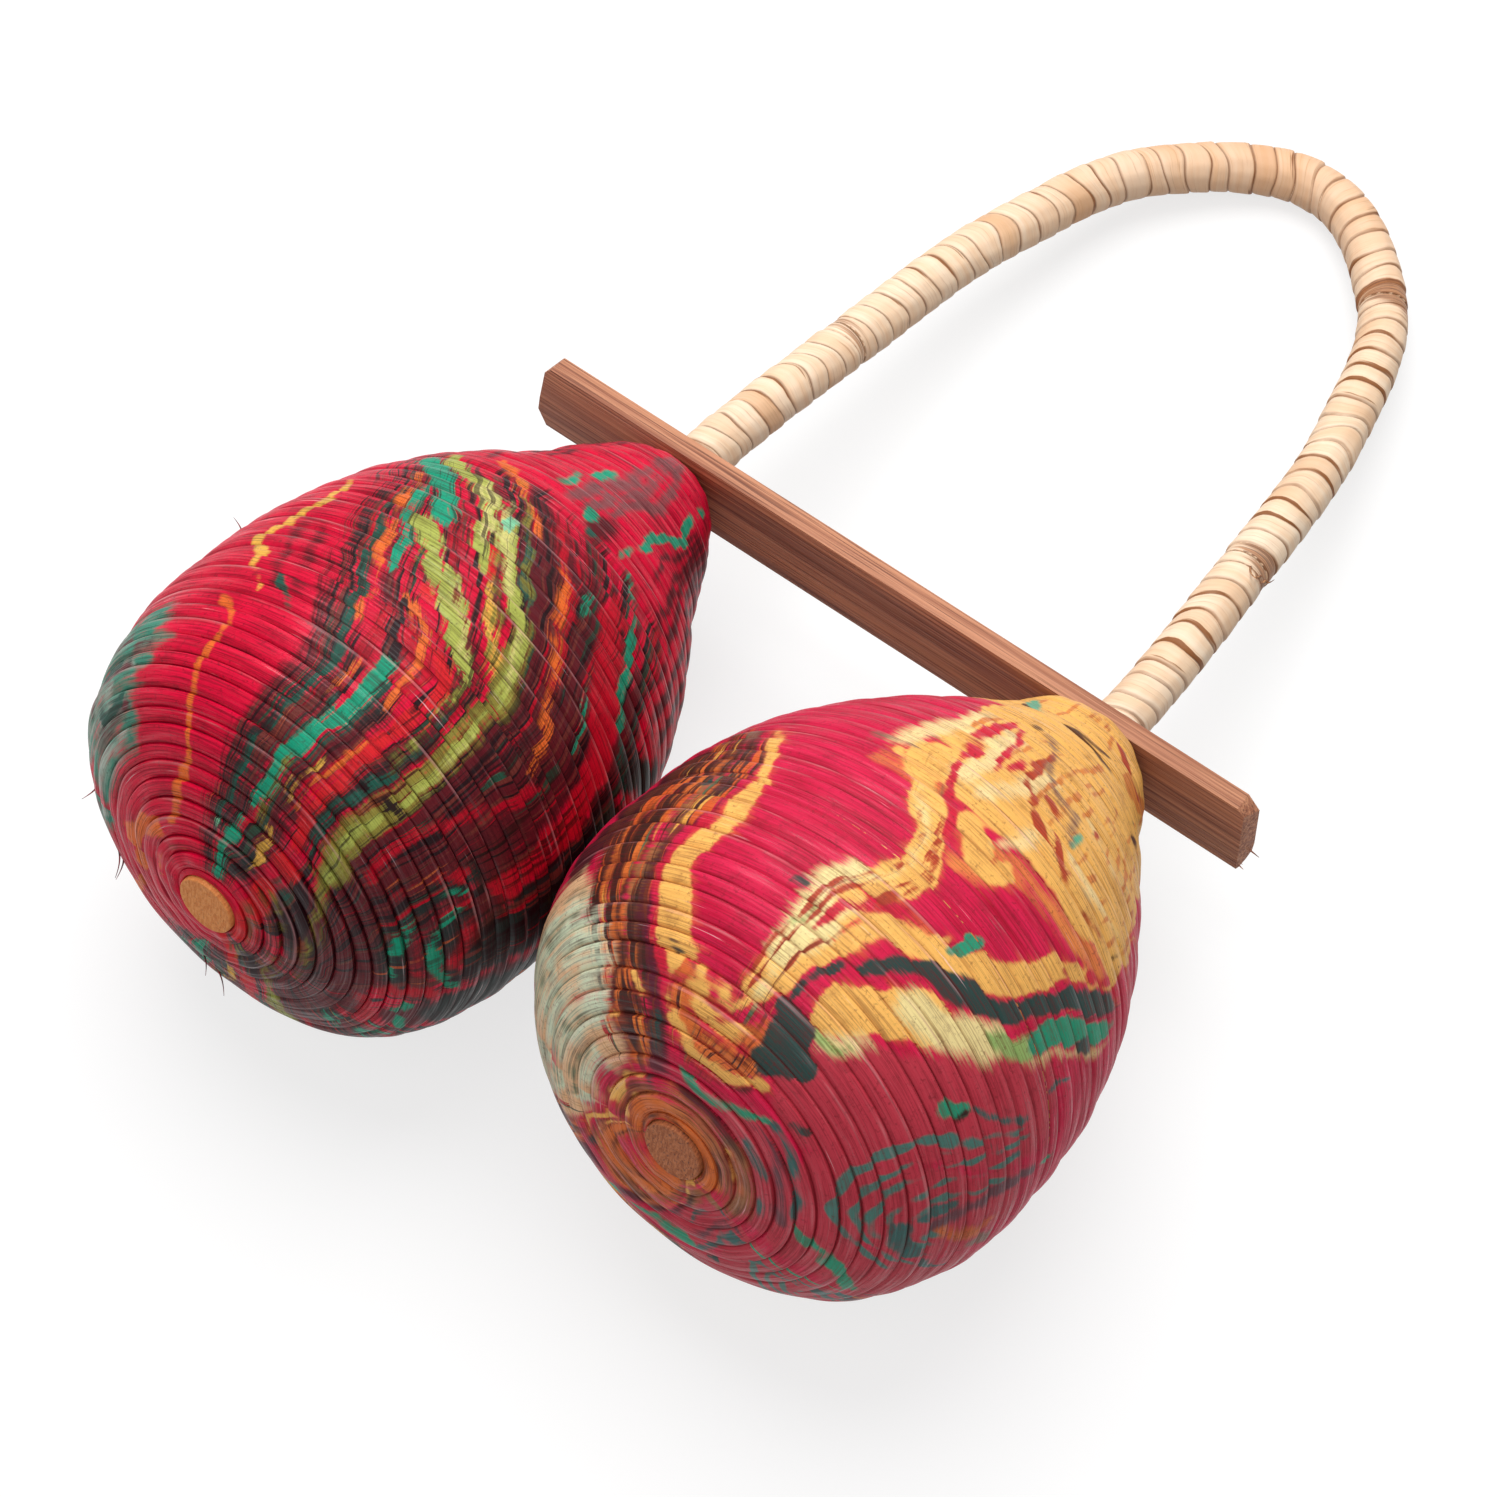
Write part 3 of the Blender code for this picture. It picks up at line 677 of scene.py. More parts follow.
# The marbling, one paint after another, as brush strokes: half width in millimetres, then either the stroke's points
# or its place between the lines of the flow (1.5 is midway from the second to the third) and where it starts and
# stops
LEFT_PAINTS = (
    ("maroon", tint(94, 24, 32), HATCHED, (
        (4.2, 4.3, 20, 100), (4.5, 4.8, 18, 98), (4.6, 5.3, 16, 94), (4.6, 5.8, 15, 90), (4.2, 6.3, 18, 48),
        (3.6, 6.75, 44, 90), (1.3, 0.45, 3, 58), (1.5, 0.85, 6, 52), (2.0, 1.35, 10, 50), (2.5, 2.3, 8, 47),
        (1.7, 2.65, 8, 24), (2.1, 3.3, 22, 66), (1.3, 1.6, 58, 92), (1.5, 2.2, 68, 96), (1.4, 2.75, 70, 98),
        (0.6, 0.7, 60, 86), (1.2, 3.55, 72, 98),
        (6.5, (60, 13), (75, 13), (90, 15), (105, 17), (118, 19)),
        (5.0, (110, 30), (104, 40), (100, 48)),
        (2.0, (29, 92), (26, 97), (22, 102), (20, 110)),
        (0.7, (-13, 53), (-19, 60), (-25, 67)), (0.7, (-19, 52), (-27, 60), (-31, 68)),
        (2.6, (-86, 47), (-90, 62), (-88, 76), (-94, 92), (-91, 110)),
        (1.6, (113, 52), (117, 66), (112, 80), (106, 94), (98, 110)))),
    ("slate", tint(26, 40, 38), HATCHED, (
        (2.2, (6, 4), (18, 5), (30, 7), (24, 10), (12, 12)),
        (1.0, (36, 7), (58, 7.5), (78, 6.5), (98, 6.5), (118, 6.5)),
        (1.2, (42, 11), (60, 10.5), (80, 9.5), (118, 9.5)),
        (1.0, (52, 14.5), (72, 13), (95, 13), (118, 15)),
        (1.3, 1.0, 8, 60), (1.1, 3.18, 22, 60), (0.8, 1.25, 60, 92), (0.8, 0.85, 58, 90),
        (2.6, (64, 46), (61.5, 38), (64, 31), (71, 27), (80, 25.5), (90, 27), (99, 33)),
        (1.8, (72, 40), (73, 35), (79, 31.5), (86, 34), (92, 39)),
        (6.5, (84, 42), (86, 52), (86, 62), (82, 72)),
        (6.0, (104, 38), (108, 50), (106, 62)),
        (3.6, (77, 50), (79, 60), (77, 70)),
        (3.4, (70, 78), (76, 82), (83, 86)),
        (1.2, (17, 42), (18, 47)),
        (1.0, (-91, 48), (-95, 63), (-93, 78), (-98, 94), (-95, 106)))),
    ("mulberry", tint(94, 22, 34), LOOSE, (
        (0.6, (44, 104), (43, 112), (46, 120), (54, 127), (56, 134), (54, 142)),
        (0.9, (56, 94), (54, 106), (52, 112), (55, 118), (60, 123), (62, 130), (60, 138), (64, 146)),
        (1.1, (62, 86), (64, 98), (60, 106), (58, 114), (63, 122), (67, 130), (66, 140), (70, 148)),
        (1.2, (70, 88), (71, 100), (68, 110), (70, 120), (74, 130), (73, 142)),
        (1.4, (79, 90), (80, 104), (79, 116), (82, 128), (82, 142)),
        (1.2, (90, 92), (90, 110), (92, 128), (92, 144)),
        (0.7, (-26, 104), (-28, 112), (-27, 122), (-30, 132), (-28, 144)),
        (1.0, (-36, 102), (-38, 114), (-37, 126), (-40, 136), (-38, 146)))),
    ("ash", tint(140, 74, 78), LOOSE, (
        (1.5, (6, 106), (6, 113), (8, 121), (8, 130), (7, 139), (9, 148)),
        (1.3, (12, 107), (12, 114), (14, 122), (15, 131), (14, 140), (15, 148)),
        (1.3, (18, 112), (19, 124), (24, 128), (26, 131), (25, 136), (22, 142), (24, 148)),
        (0.9, (3, 137), (0, 140), (-5, 142)),
        (0.6, (-10, 97), (-20, 99), (-28, 102)))),
    ("crimson_band", tint(198, 14, 40), LOOSE, (
        (1.0, (54, 26), (50, 29), (46, 33), (46, 37), (46.5, 41), (48, 45), (51, 49), (53, 52), (54.5, 57), (55, 62)),
        (1.2, (60, 28), (58, 34), (60, 39), (63, 43)),
        (2.8, (70, 46), (69, 52), (69, 58), (70, 64)),
        (3.2, (66, 64), (64, 68), (62, 72), (57, 76), (53, 80), (49, 83), (44, 86), (40, 90), (37, 95)),
        (1.5, (95, 26), (94, 30), (96, 34)),
        (1.5, (105, 23), (113, 24), (120, 27)),
        (1.0, (74, 40), (80, 37), (84, 36)),
        (0.7, (69, 41), (69, 36), (72, 32), (78, 29), (86, 29.5)),
        (1.0, 4.9, 66, 100), (0.8, 2.85, 66, 92), (0.8, 2.05, 50, 62), (0.9, 1.6, 50, 60), (1.1, 2.5, 48, 62))),
    ("scarlet", tint(220, 34, 42), CRISP, (
        (1.9, (120, 3), (95, 2), (80, 2), (70, 2.5), (60, 4), (55, 5.5), (45, 8), (38, 10)),
        (2.0, (31, 15), (37, 15), (43, 15.5)),
        (1.4, (30, 18), (28, 22), (25, 26), (24.5, 32), (23, 36), (24, 45), (24, 50), (26, 52), (24, 56), (20, 59),
         (13, 60)),
        (1.2, (13, 77), (12, 79), (8, 81)),
        (0.9, (10, 66), (5, 66.5)))),
    ("emerald", tint(12, 158, 122), CRISP, (
        (0.8, (11, 3), (11, 8)),
        (0.7, (9, 10), (9, 16)),
        (1.6, (9, 20), (10, 25), (10.5, 28), (10, 31), (11, 37), (13, 40), (13.5, 43), (13, 50), (12.5, 52)),
        (0.8, (88, 26), (80, 25.5), (73, 27), (67, 30), (63, 33.5), (64, 37), (66, 40), (65.5, 43), (64, 47)),
        (0.8, (66, 33), (69, 30), (74, 28.5), (79, 27)),
        (0.9, (70, 38), (72, 35), (76, 32.5), (82, 32), (88, 34), (94, 38)),
        (1.5, (103, 30), (105, 30)),
        (1.0, (112, 31), (118, 33)),
        (1.0, (-4, 66), (-6, 70), (-8, 74), (-11, 77), (-14, 81), (-17, 85), (-19, 88)),
        (2.0, (-5, 81), (-8, 84), (-11, 87), (-15, 90), (-21, 92.5), (-28, 95), (-36, 98)),
        (0.6, (100, 9), (110, 8.5), (120, 9)),
        (0.6, (56, 69), (53, 72), (51, 75), (48, 77), (47, 79.5)),
        (1.0, (62, 79), (58, 82), (55, 84), (52, 88), (49, 91), (46, 94), (45, 99)),
        (0.9, (40, 101), (38, 103)),
        (0.8, (31.5, 87.5), (30, 90)),
        (1.2, (17.5, 105), (14, 108.5)),
        (0.9, (-2, 110), (-1, 111)),
        (1.0, (0, 113), (-0.5, 118)),
        (1.0, (4, 119), (2.5, 122), (1.5, 128)),
        (1.15, (33, 103), (32, 108), (33, 112), (34.5, 117), (36, 121), (39, 124), (44, 126.5), (48, 129), (48, 132),
         (47, 135), (50, 138), (54, 140.5), (60, 143.5)),
        (1.2, (47.5, 52.5), (48, 53)),
        (1.3, (-82, 46), (-86, 61), (-83, 76), (-89, 92), (-86, 112)),
        (1.2, (116, 58), (119, 70), (114, 84), (106, 98), (100, 112)))),
    ("jade", tint(48, 140, 116), HATCHED, tuple(
        (1.7, (-96, along), (-64, along), (stop, along + 0.4)) for along, stop in (
            (22.5, -52), (25.2, -48), (27.8, -50), (30.5, -45), (33.2, -48), (36, -41), (38.8, -38), (41.4, -42),
            (44, -44)))),
    ("pale", tint(196, 204, 190), HATCHED, tuple((0.7, (-94, along), (-72, along), (stop, along)) for along, stop in (
        (24.4, -56), (29.2, -54), (32.4, -62), (35.2, -50), (40.2, -56), (43, -60)))),
    ("wine", tint(112, 40, 50), HATCHED, (
        (0.9, (-78, 27.5), (-64, 27.5), (-52, 28.5)),
        (0.9, (-80, 34.5), (-62, 34.5), (-52, 35)),
        (0.7, (-50, 38), (-44, 38)),
        (0.8, (-76, 41), (-66, 41), (-56, 41)),
        (0.5, (70, 34), (72, 31.5), (76, 29.5), (81, 28.5), (84, 30.5), (88, 33)))),
    ("pine", tint(24, 84, 70), CRISP, (
        (1.0, (2, 33), (2.5, 40), (2.5, 48), (1, 51), (-1, 54), (-3, 58), (-6, 61), (-10, 64), (-13, 67)),
        (0.6, (2, 12), (2, 20), (2, 30)),
        (0.8, (-12, 50), (-17, 52), (-20, 54)),
        (0.9, (38, 12), (45, 11.5), (52, 12)),
        (0.7, (-13, 67), (-14, 71), (-16, 76), (-19, 81), (-23, 86), (-26, 90)),
        (0.8, (36, 22), (32, 26), (30, 30), (29.5, 34), (30, 44), (30.5, 54)),
        (0.5, (14, 26), (14.5, 34), (16, 42), (16, 50)),
        (0.5, (7, 24), (7.5, 34), (9, 42)),
        (0.8, (25, 78), (20, 82), (16, 85), (12, 89)),
        (0.9, (64, 79), (66, 77), (71, 76.5), (77, 77)),
        (0.8, (-70, 36), (-58, 36.4), (-50, 36)),
        (0.7, (-72, 29.5), (-60, 29.5), (-54, 30)),
        (0.8, (20, 102), (20.5, 103)))),
    ("orange", tint(238, 112, 46), CRISP, (
        (0.8, (-70, 7), (-50, 7.5), (-33, 11), (-28, 15), (-23.5, 20), (-23, 25), (-24, 30), (-25, 35), (-26, 39),
         (-23.5, 41), (-26, 45), (-33, 49)),
        (2.0, (-98, 15), (-80, 11), (-60, 9)),
        (0.7, (-98, 6), (-60, 5.5), (-40, 4.5)),
        (0.55, (7, 42), (7.5, 49)),
        (0.4, (21, 24), (20.5, 32), (20.5, 40)),
        (0.8, (20, 45), (18, 52), (16.5, 57), (13, 60), (10, 62.5), (5, 63.5)),
        (0.5, (1, 55), (0, 58), (-3, 62), (-6, 65)),
        (0.95, (-7, 65), (-9, 68), (-11, 72), (-13.5, 76), (-16, 79.5), (-19, 83), (-21, 86), (-24, 89), (-26, 91)),
        (0.75, (50.5, 59), (49, 63), (47, 66), (44.5, 68, 1.2), (44, 70, 1.2), (41, 72), (38, 75), (34, 78), (31, 81),
         (27, 85), (24, 88), (22, 91)),
        (0.8, (14, 91), (10, 94), (0, 97), (-5, 100), (-10, 103), (-14, 105), (-20, 107)),
        (0.8, (-78, 49), (-82, 63), (-79, 77), (-84, 91), (-81, 104)), (0.7, (112, 50), (113, 62), (115, 72)))),
    ("gold", tint(242, 184, 78), CRISP, (
        (0.9, (-97, 52), (-100, 66), (-97, 82), (-100, 98)),
        (1.0, (-22, 50), (-29, 55), (-35, 61), (-38, 65), (-34, 68), (-36, 72), (-33, 75), (-36, 77), (-35, 80),
         (-38, 83), (-43, 87)),
        (1.0, (30, 64.5), (26, 67), (22, 70), (18, 73), (14, 76)),
        (0.5, (29, 8), (27, 10.5), (24, 12.5), (22, 15), (20.5, 17.5), (17, 18)),
        (0.35, (15, 22), (16, 28)),
        (0.35, (18, 24), (18, 33)))),
    ("olive", tint(146, 136, 58), LOOSE, (
        (0.7, (80, 14.5), (72, 15), (65, 16.5), (58, 18.5), (52, 19.5), (40, 20)),
        (0.5, (48, 9.3), (75, 8), (118, 8)), (0.45, (70, 13), (95, 11.8), (118, 12.5)),
        (2.3, (52, 19.5), (48, 21.5), (45, 24), (41, 26), (39, 29), (36.5, 32), (35.5, 36), (36, 40), (36.5, 50),
         (36, 55), (35, 60), (33, 65), (30, 70), (26, 74)),
        (0.7, (28.5, 40), (28, 50), (27.5, 55), (26, 60)),
        (0.4, 3.5, 62, 98), (0.4, 4.06, 60, 100), (0.35, 1.95, 16, 30))),
    ("lime", tint(176, 184, 86), CRISP, (
        (0.8, (50, 21), (45, 24), (41, 26.5), (38, 30), (36.5, 34)),
        (0.9, (36.5, 38), (37, 46), (37, 54), (36, 60)),
        (1.5, (35.5, 60), (33.5, 65), (30.5, 70), (26.5, 74), (22, 77), (17, 80), (11, 83), (8, 86), (6, 90)),
        (1.5, (12, 77), (6, 80), (3, 83), (1, 87), (-2, 91), (-8, 94), (-14, 95.5), (-22, 97.5), (-28, 100),
         (-33, 102)),
        (0.4, (28.5, 44), (28, 50), (27.5, 55), (26, 60)),
        (1.3, (-94, 56), (-97, 70), (-94, 84), (-97, 92)), (1.0, (118, 74), (113, 88), (104, 102)),
        (1.9, (25, 61), (19, 63.5), (14, 66.5), (8, 69), (2, 71), (-1, 74), (-5, 77), (-9, 79.5)))),
    ("cream", tint(218, 210, 128), LOOSE, (
        (0.9, (20, 78), (12, 82), (7, 86), (4, 90), (-2, 93)),
        (0.9, (6, 81), (2, 86), (-2, 91), (-10, 95)),
        (0.45, (22, 63.5), (15, 67), (7, 70.5), (0, 74)),
        (0.45, (34, 64), (30, 69.5), (25, 74.5)),
        (0.4, (38, 42), (38, 52), (37, 60)))),
    ("rust", tint(140, 70, 40), CRISP, (
        (0.4, (45, 7), (75, 5.8), (110, 5.6)), (0.5, (50, 3.4), (80, 3.4), (118, 3.2)),
        (0.4, (42, 12.5), (65, 11.8), (90, 11.3), (118, 11.6)),
        (0.35, (37, 25), (34, 28), (33, 32), (33, 45), (32.5, 50)),
        (0.35, (35, 38), (35, 44), (35, 50), (35, 57), (33, 63)),
        (0.3, (22, 64), (14, 67.5), (6, 71), (0, 74)),
        (0.3, (30, 68), (24, 74), (16, 79), (10, 82)))),
    ("mint", tint(138, 214, 170), CRISP, (
        (1.0, (6, 87.5), (6, 89.5)),
        (0.45, (0.5, 11.5), (1, 12)),
        (0.5, (83, 8), (97, 8)))),
    ("black", tint(26, 20, 20), CRISP, (
        (1.1, (6, 62.2), (6.3, 62.4)),
        (0.8, (35, 36.5), (35.3, 36.6)),
        (0.7, (37.5, 37), (37.7, 37.1)),
        (0.8, (29, 35.5), (29.2, 35.6)),
        (0.5, (2, 68), (2.3, 68.2)))))

RIGHT_FLOW = (
    ((-52, 8), (-52, 25), (-56, 40), (-54, 55), (-50, 68), (-54, 80)),
    ((-20, 8), (-23, 20), (-27, 27), (-31, 35), (-33, 45), (-30, 54), (-31, 62), (-34, 70), (-39, 78)),
    ((-3, 28), (-2, 38), (-2, 46), (-1, 50), (3, 55), (6, 58), (8, 62), (7, 67), (3, 71), (-6, 76), (-16, 80)),
    ((11, 28), (12, 36), (16, 43), (18, 49), (16, 54), (16, 58), (17, 63), (15, 69), (12, 74), (6, 79), (0, 84)),
    ((22, 8), (24, 24), (26, 33), (33, 42), (42, 50), (50, 57), (54, 64), (58, 72), (64, 79), (72, 87)),
    ((45, 8), (46, 24), (48, 36), (54, 46), (60, 54), (64, 62), (68, 70), (74, 78), (82, 88)))

# Where the paints were drawn out into fine lines, as wide strokes, and those lines: their tint, how many there are
# from one line of the flow to the next, and the noise levels that they start and are full at. The last lies over all
# paints, and the others lie under the paints that are named here
PAINTS_OVER_LINES = ("crimson_band", "ochre")
LEFT_COMBED = ((2.0, 0.6, 3, 70), *((5.5, lane, 3, 102) for lane in (1.2, 2.0, 2.8, 3.6, 4.4, 5.0, 5.6, 6.2, 6.8)))
LEFT_LINES = (
    (tint(112, 48, 42), 8, 0.54, 0.62), (tint(30, 12, 16), 9, 0.53, 0.62), (tint(40, 66, 50), 6, 0.62, 0.68),
    (tint(184, 8, 36), 7, 0.62, 0.68), (tint(180, 84, 48), 9, 0.69, 0.72), (tint(40, 18, 16), 15, 0.58, 0.68))
RIGHT_COMBED = (
    (3.6, 0.2, 10, 78), (3.6, 0.5, 10, 76), (3.6, 0.85, 12, 74), (3.4, 2.5, 26, 54), (2.0, 2.5, 54, 84),
    (3.0, (-14, 26), (-8, 20), (2, 17), (10, 20), (14, 24)), (1.2, 4.0, 48, 88))
RIGHT_LINES = (
    (tint(240, 170, 80), 8, 0.60, 0.67), (tint(220, 96, 44), 9, 0.58, 0.64), (tint(62, 36, 30), 10, 0.50, 0.58),
    (tint(84, 104, 76), 7, 0.63, 0.68), (tint(200, 52, 52), 9, 0.66, 0.70), (tint(120, 56, 34), 13, 0.60, 0.70))
RIGHT_PAINTS = (
    ("maroon", tint(88, 30, 46), LOOSE, (
        (1.1, (-15, 9.5), (-8, 9), (0, 8.5), (10, 8), (18, 8), (26, 9), (33, 10), (37, 11.5)),
        (1.7, (-21, 21), (-25, 24), (-28, 28), (-32, 33), (-34, 37), (-35, 42), (-36, 46), (-34, 52), (-33, 57),
         (-35, 64), (-38, 71)),
        (2.2, (-22, 10), (-20.5, 15), (-20, 20)),
        (2.0, (-84, 54), (-80, 66), (-84, 80), (-78, 94), (-72, 108)),
        (1.6, (114, 56), (117, 70), (112, 84), (104, 98)))),
    ("rosewood", tint(200, 60, 76), HATCHED, (
        (9.0, (36, 26), (48, 34), (58, 46), (68, 58)),
        (9.0, (66, 22), (80, 34), (88, 48)),
        (7.0, (95, 18), (106, 30), (108, 44)),
        (5.0, (30, 13), (60, 13), (100, 12)))),
    # Painted shadow and dark reflection of the left head, on the side of this head that lies against it
    ("shade", tint(60, 30, 36), HATCHED, (
        (5.0, (-66, 45), (-57, 52), (-54, 60), (-52, 68)),
        (3.0, (-90, 50), (-84, 60), (-80, 70)))),
    ("dusk", tint(104, 66, 74), LOOSE, (
        (1.4, (84, 58), (81, 48), (82, 40), (86, 36)),
        (0.8, (30, 14.5), (50, 15), (70, 13.5), (92, 13.5)))),
    ("umber", tint(84, 46, 36), HATCHED, (
        (2.6, 0.5, 12, 76), (2.0, 0.15, 34, 76), (1.6, 0.8, 14, 72), (2.4, (-58, 50), (-54, 60), (-52, 70)))),
    ("tan", tint(244, 196, 150), HATCHED, (
        (5.0, (-98, 14), (-80, 16), (-62, 17), (-52, 14)),
        (6.0, (-96, 26), (-75, 27), (-60, 28), (-50, 27)),
        (5.0, (-92, 37), (-72, 37), (-60, 38)))),
    ("rust", tint(226, 116, 54), LOOSE, (
        (0.8, 0.25, 18, 76), (0.7, 0.5, 14, 74), (0.6, 0.75, 24, 70),
        (3.6, (-12, 26), (-8, 22), (2, 20), (9, 22), (12, 25)),
        (2.3, (-100, 2), (-40, 2), (0, 1.6), (60, 2.2), (120, 2)),
        (1.8, (-35, 12), (-30, 13), (-28, 17), (-33, 19), (-38, 23), (-33, 24)),
        (1.6, (-46, 36), (-43, 40), (-45, 45), (-44, 49)),
        (1.2, (-38, 31), (-38, 34)),
        (1.6, (-40, 50), (-42, 54), (-40, 59)),
        (0.8, (-45, 68), (-48, 70), (-51, 72)),
        (1.2, (-18, 29), (-14, 28.5)),
        (1.6, (86, 39), (90, 44), (92, 48)),
        (1.0, (-78, 52), (-74, 64), (-78, 78), (-72, 92), (-66, 104)))),
    ("glow", tint(240, 140, 76), HATCHED, (
        (1.8, (14, 74), (30, 77), (46, 79), (58, 81)), (1.4, (16, 69), (24, 71)), (1.2, (-12, 78), (2, 78)),
        (0.8, (-60, 4), (0, 3.4), (50, 4.2), (100, 3.6)), (0.9, (-20, 6.8), (10, 6), (30, 6.6)))),
    ("bark", tint(158, 104, 68), HATCHED, (
        (0.9, (-100, 5), (-20, 5), (40, 5), (118, 5)),
        (1.8, (36, 7.6), (70, 8), (95, 7.5), (118, 7)),
        (1.0, (-34, 29), (-36, 34), (-37, 38), (-39, 42), (-37, 46), (-36, 50), (-37, 54), (-39, 59), (-38, 62)))),
    ("soot", tint(64, 34, 28), LOOSE, (
        *((0.4, (-100, along), (-30, along + 0.2), (50, along), (118, along + 0.2))
          for along in (0.5, 3.6, 5.8, 8.2)),
        (0.5, (-16, 23), (-10, 22), (-2, 21), (6, 20.8), (12, 22)),
        (0.5, (-19, 19), (-12, 17.6), (-4, 15.4), (6, 14.9), (14, 16.6), (20, 19)),
        (0.5, (-20, 28.5), (-12, 25), (-6, 24.9), (-1, 22.2), (8, 23.4)),
        (0.4, (-14, 26.3), (-6, 25.8), (2, 25.4), (7, 26.5)))),
    ("ochre", tint(252, 190, 100), CRISP, (
        (2.6, 2.5, 30, 52), (1.6, (9, 33), (11, 39), (14, 45), (15, 50)),
        (0.8, (-96, 7.6), (-66, 7.2), (-52, 8.4), (-36, 7.4)), (0.4, (-90, 4.4), (-20, 4.3)),
        (0.5, (50, 6.6), (85, 6.4)),
        (0.9, (-41, 18), (-39, 18)),
        (0.9, (-31, 24), (-28, 23)),
        (1.1, (-16, 21), (-12, 20), (-8, 19), (-3, 17.3), (3, 16.5), (9, 17), (13, 18.5), (16, 19.5), (22, 21)),
        (1.0, (-18, 24.5), (-17, 24.6)),
        (1.4, (-10, 24.5), (-4, 23.5), (3, 23), (7, 24.5), (9, 25)),
        (1.2, (-13, 27.5), (-9, 28)),
        (0.8, (-6, 29), (-4, 27.3), (-1, 26.7), (2, 27.5), (3, 29)),
        (1.1, (5, 30), (6, 34), (6, 38)),
        (2.6, (-21, 28, 1.2), (-21, 31, 2.6), (-22, 33.5, 3.2), (-25, 37, 2.9), (-28, 41, 2.6), (-29, 45, 2.2),
         (-27, 48, 2.2), (-25.5, 52, 1.8), (-26.5, 56, 1.8), (-26.2, 60, 1.3), (-28, 64, 1.2), (-31.5, 68, 1.0),
         (-32.5, 71, 1.0),
         (-34.5, 74, 1.1), (-39, 77, 0.6)),
        (0.9, (-18, 32), (-14, 31.5), (-10, 30)),
        (4.0, (23, 35, 2.0), (25, 39), (29, 43), (32, 46), (36, 48)),
        (2.2, (12, 51), (16, 52), (22, 53.5), (28, 55), (33, 57), (38, 60, 3.0), (43.5, 65, 2.4), (45.5, 70, 2.8),
         (47.5, 73.5, 1.8), (53, 76.5, 1.0), (58, 79, 0.8), (63, 83, 0.8)),
        (1.0, (24, 56), (25, 57.5)),
        (2.9, (5, 54.5, 2.0), (9, 57), (11.5, 60), (11.5, 64), (10.5, 67), (8.5, 70, 2.6), (5, 73, 2.4), (1, 76, 2.0),
         (-5, 78.5, 1.4), (-12, 80.5, 1.2)),
        (2.4, (11, 77), (18, 73.5), (21, 71, 1.6), (26, 74)),
        (4.5, (-9, 84), (10, 83), (30, 85), (50, 86), (62, 88)),
        (6.0, (-9, 93), (15, 93), (40, 92), (63, 94)),
        (7.0, (-6, 102), (20, 103), (45, 103), (61, 102)),
        (7.0, (-14, 113), (30, 114), (66, 114)),
        (6.0, (-60, 124), (0, 124), (90, 124)),
        (7.0, (-80, 134), (0, 134), (110, 134)),
        (5.0, (-80, 143), (0, 143), (110, 143)),
        (1.8, (-90, 48), (-87, 62), (-90, 76), (-84, 92), (-78, 108), (-74, 118)),
        (1.6, (118, 54), (121, 68), (117, 82), (108, 96), (100, 108)))),
    ("cream", tint(252, 220, 156), HATCHED, (
        (1.8, (-13, 82), (-12, 90), (-11, 98), (-12, 108)),
        (2.2, (2, 83), (4, 90), (3, 97), (0, 106)),
        (1.8, (9, 84), (13, 90), (16, 96), (18, 104)),
        (0.9, (19, 76), (22, 82), (25, 87)),
        (0.6, (34, 90), (46, 89), (58, 92)), (0.6, (30, 104), (44, 100), (56, 104)))),
    ("tawny", tint(226, 138, 70), FINE, (
        *((0.45, (degrees, 85 + degrees % 7), (degrees + 1.5, 96), (degrees - 1, 106),
           (degrees + 2, 112 + degrees % 11))
          for degrees in (-9, -4, 6, 12, 19, 25, 30, 36, 41, 47, 52, 57, 62)),
        *((0.5, (degrees, 118), (degrees + 3, 122), (degrees + 8, 125)) for degrees in (22, 34, 45, 52)),
        *((0.5, (degrees, 130), (degrees + 2, 135), (degrees - 2, 141)) for degrees in (-30, -12, 6, 24, 60, 74, 90)),
        (2.2, (44, 131), (62, 134), (84, 137)))),
    ("straw", tint(248, 226, 158), HATCHED, (
        (0.5, 2.55, 28, 52), (0.4, 2.3, 54, 76),
        (4.2, (5, 37, 2.0), (5, 42), (5, 46)),
        (2.3, (1, 49), (2, 52), (4, 54.5)),
        (3.2, (28, 46, 2.6), (36, 47), (42, 50), (47, 53), (50, 55.5, 2.6)),
        (1.6, (28, 34), (31, 36)),
        (0.4, (55, 57), (59, 60), (61, 64), (65, 68.5), (69, 73.5), (72, 78), (76, 82)),
        (1.2, (-8, 99), (-2, 100), (2, 98)), (0.6, (-91, 52), (-88, 64), (-91, 78), (-86, 92)))),
    ("lime", tint(158, 192, 112), LOOSE, (
        (2.2, (47, 54, 1.0), (52, 56.5), (55, 59.5)),
        (0.5, (1, 42), (3, 42), (4, 45), (2, 46)),
        (0.6, (24, 33.5), (29, 33.2), (31, 35)))),
    ("emerald", tint(32, 156, 120), CRISP, (
        (2.3, (55.5, 60), (57, 64), (57.5, 66.5), (60, 69), (63, 72, 1.8), (66, 75.5, 1.5), (69, 79, 1.3),
         (73, 83, 1.1)),
        (1.0, (-9, 13.5), (-5, 12.2), (0, 11.5), (8, 11.4), (15, 12), (20, 12.8), (25, 14.3), (30, 16.3), (35, 18)),
        (1.3, (86, 15.6, 0.7), (92, 16.8, 0.9), (96, 18.5), (100, 20.5), (104, 23), (108, 26), (114, 28.5),
         (119, 31)),
        (1.4, (52.5, 42), (55, 43), (56, 45)),
        (1.3, (28, 57), (29.5, 59), (31, 61)),
        (0.8, (84, 60), (87, 62)),
        (1.2, (-97, 50), (-94, 64), (-97, 78), (-92, 94), (-86, 108)),
        (1.3, (113, 66), (108, 80), (102, 92), (96, 104)))),
    ("lichen", tint(76, 126, 116), FINE, (
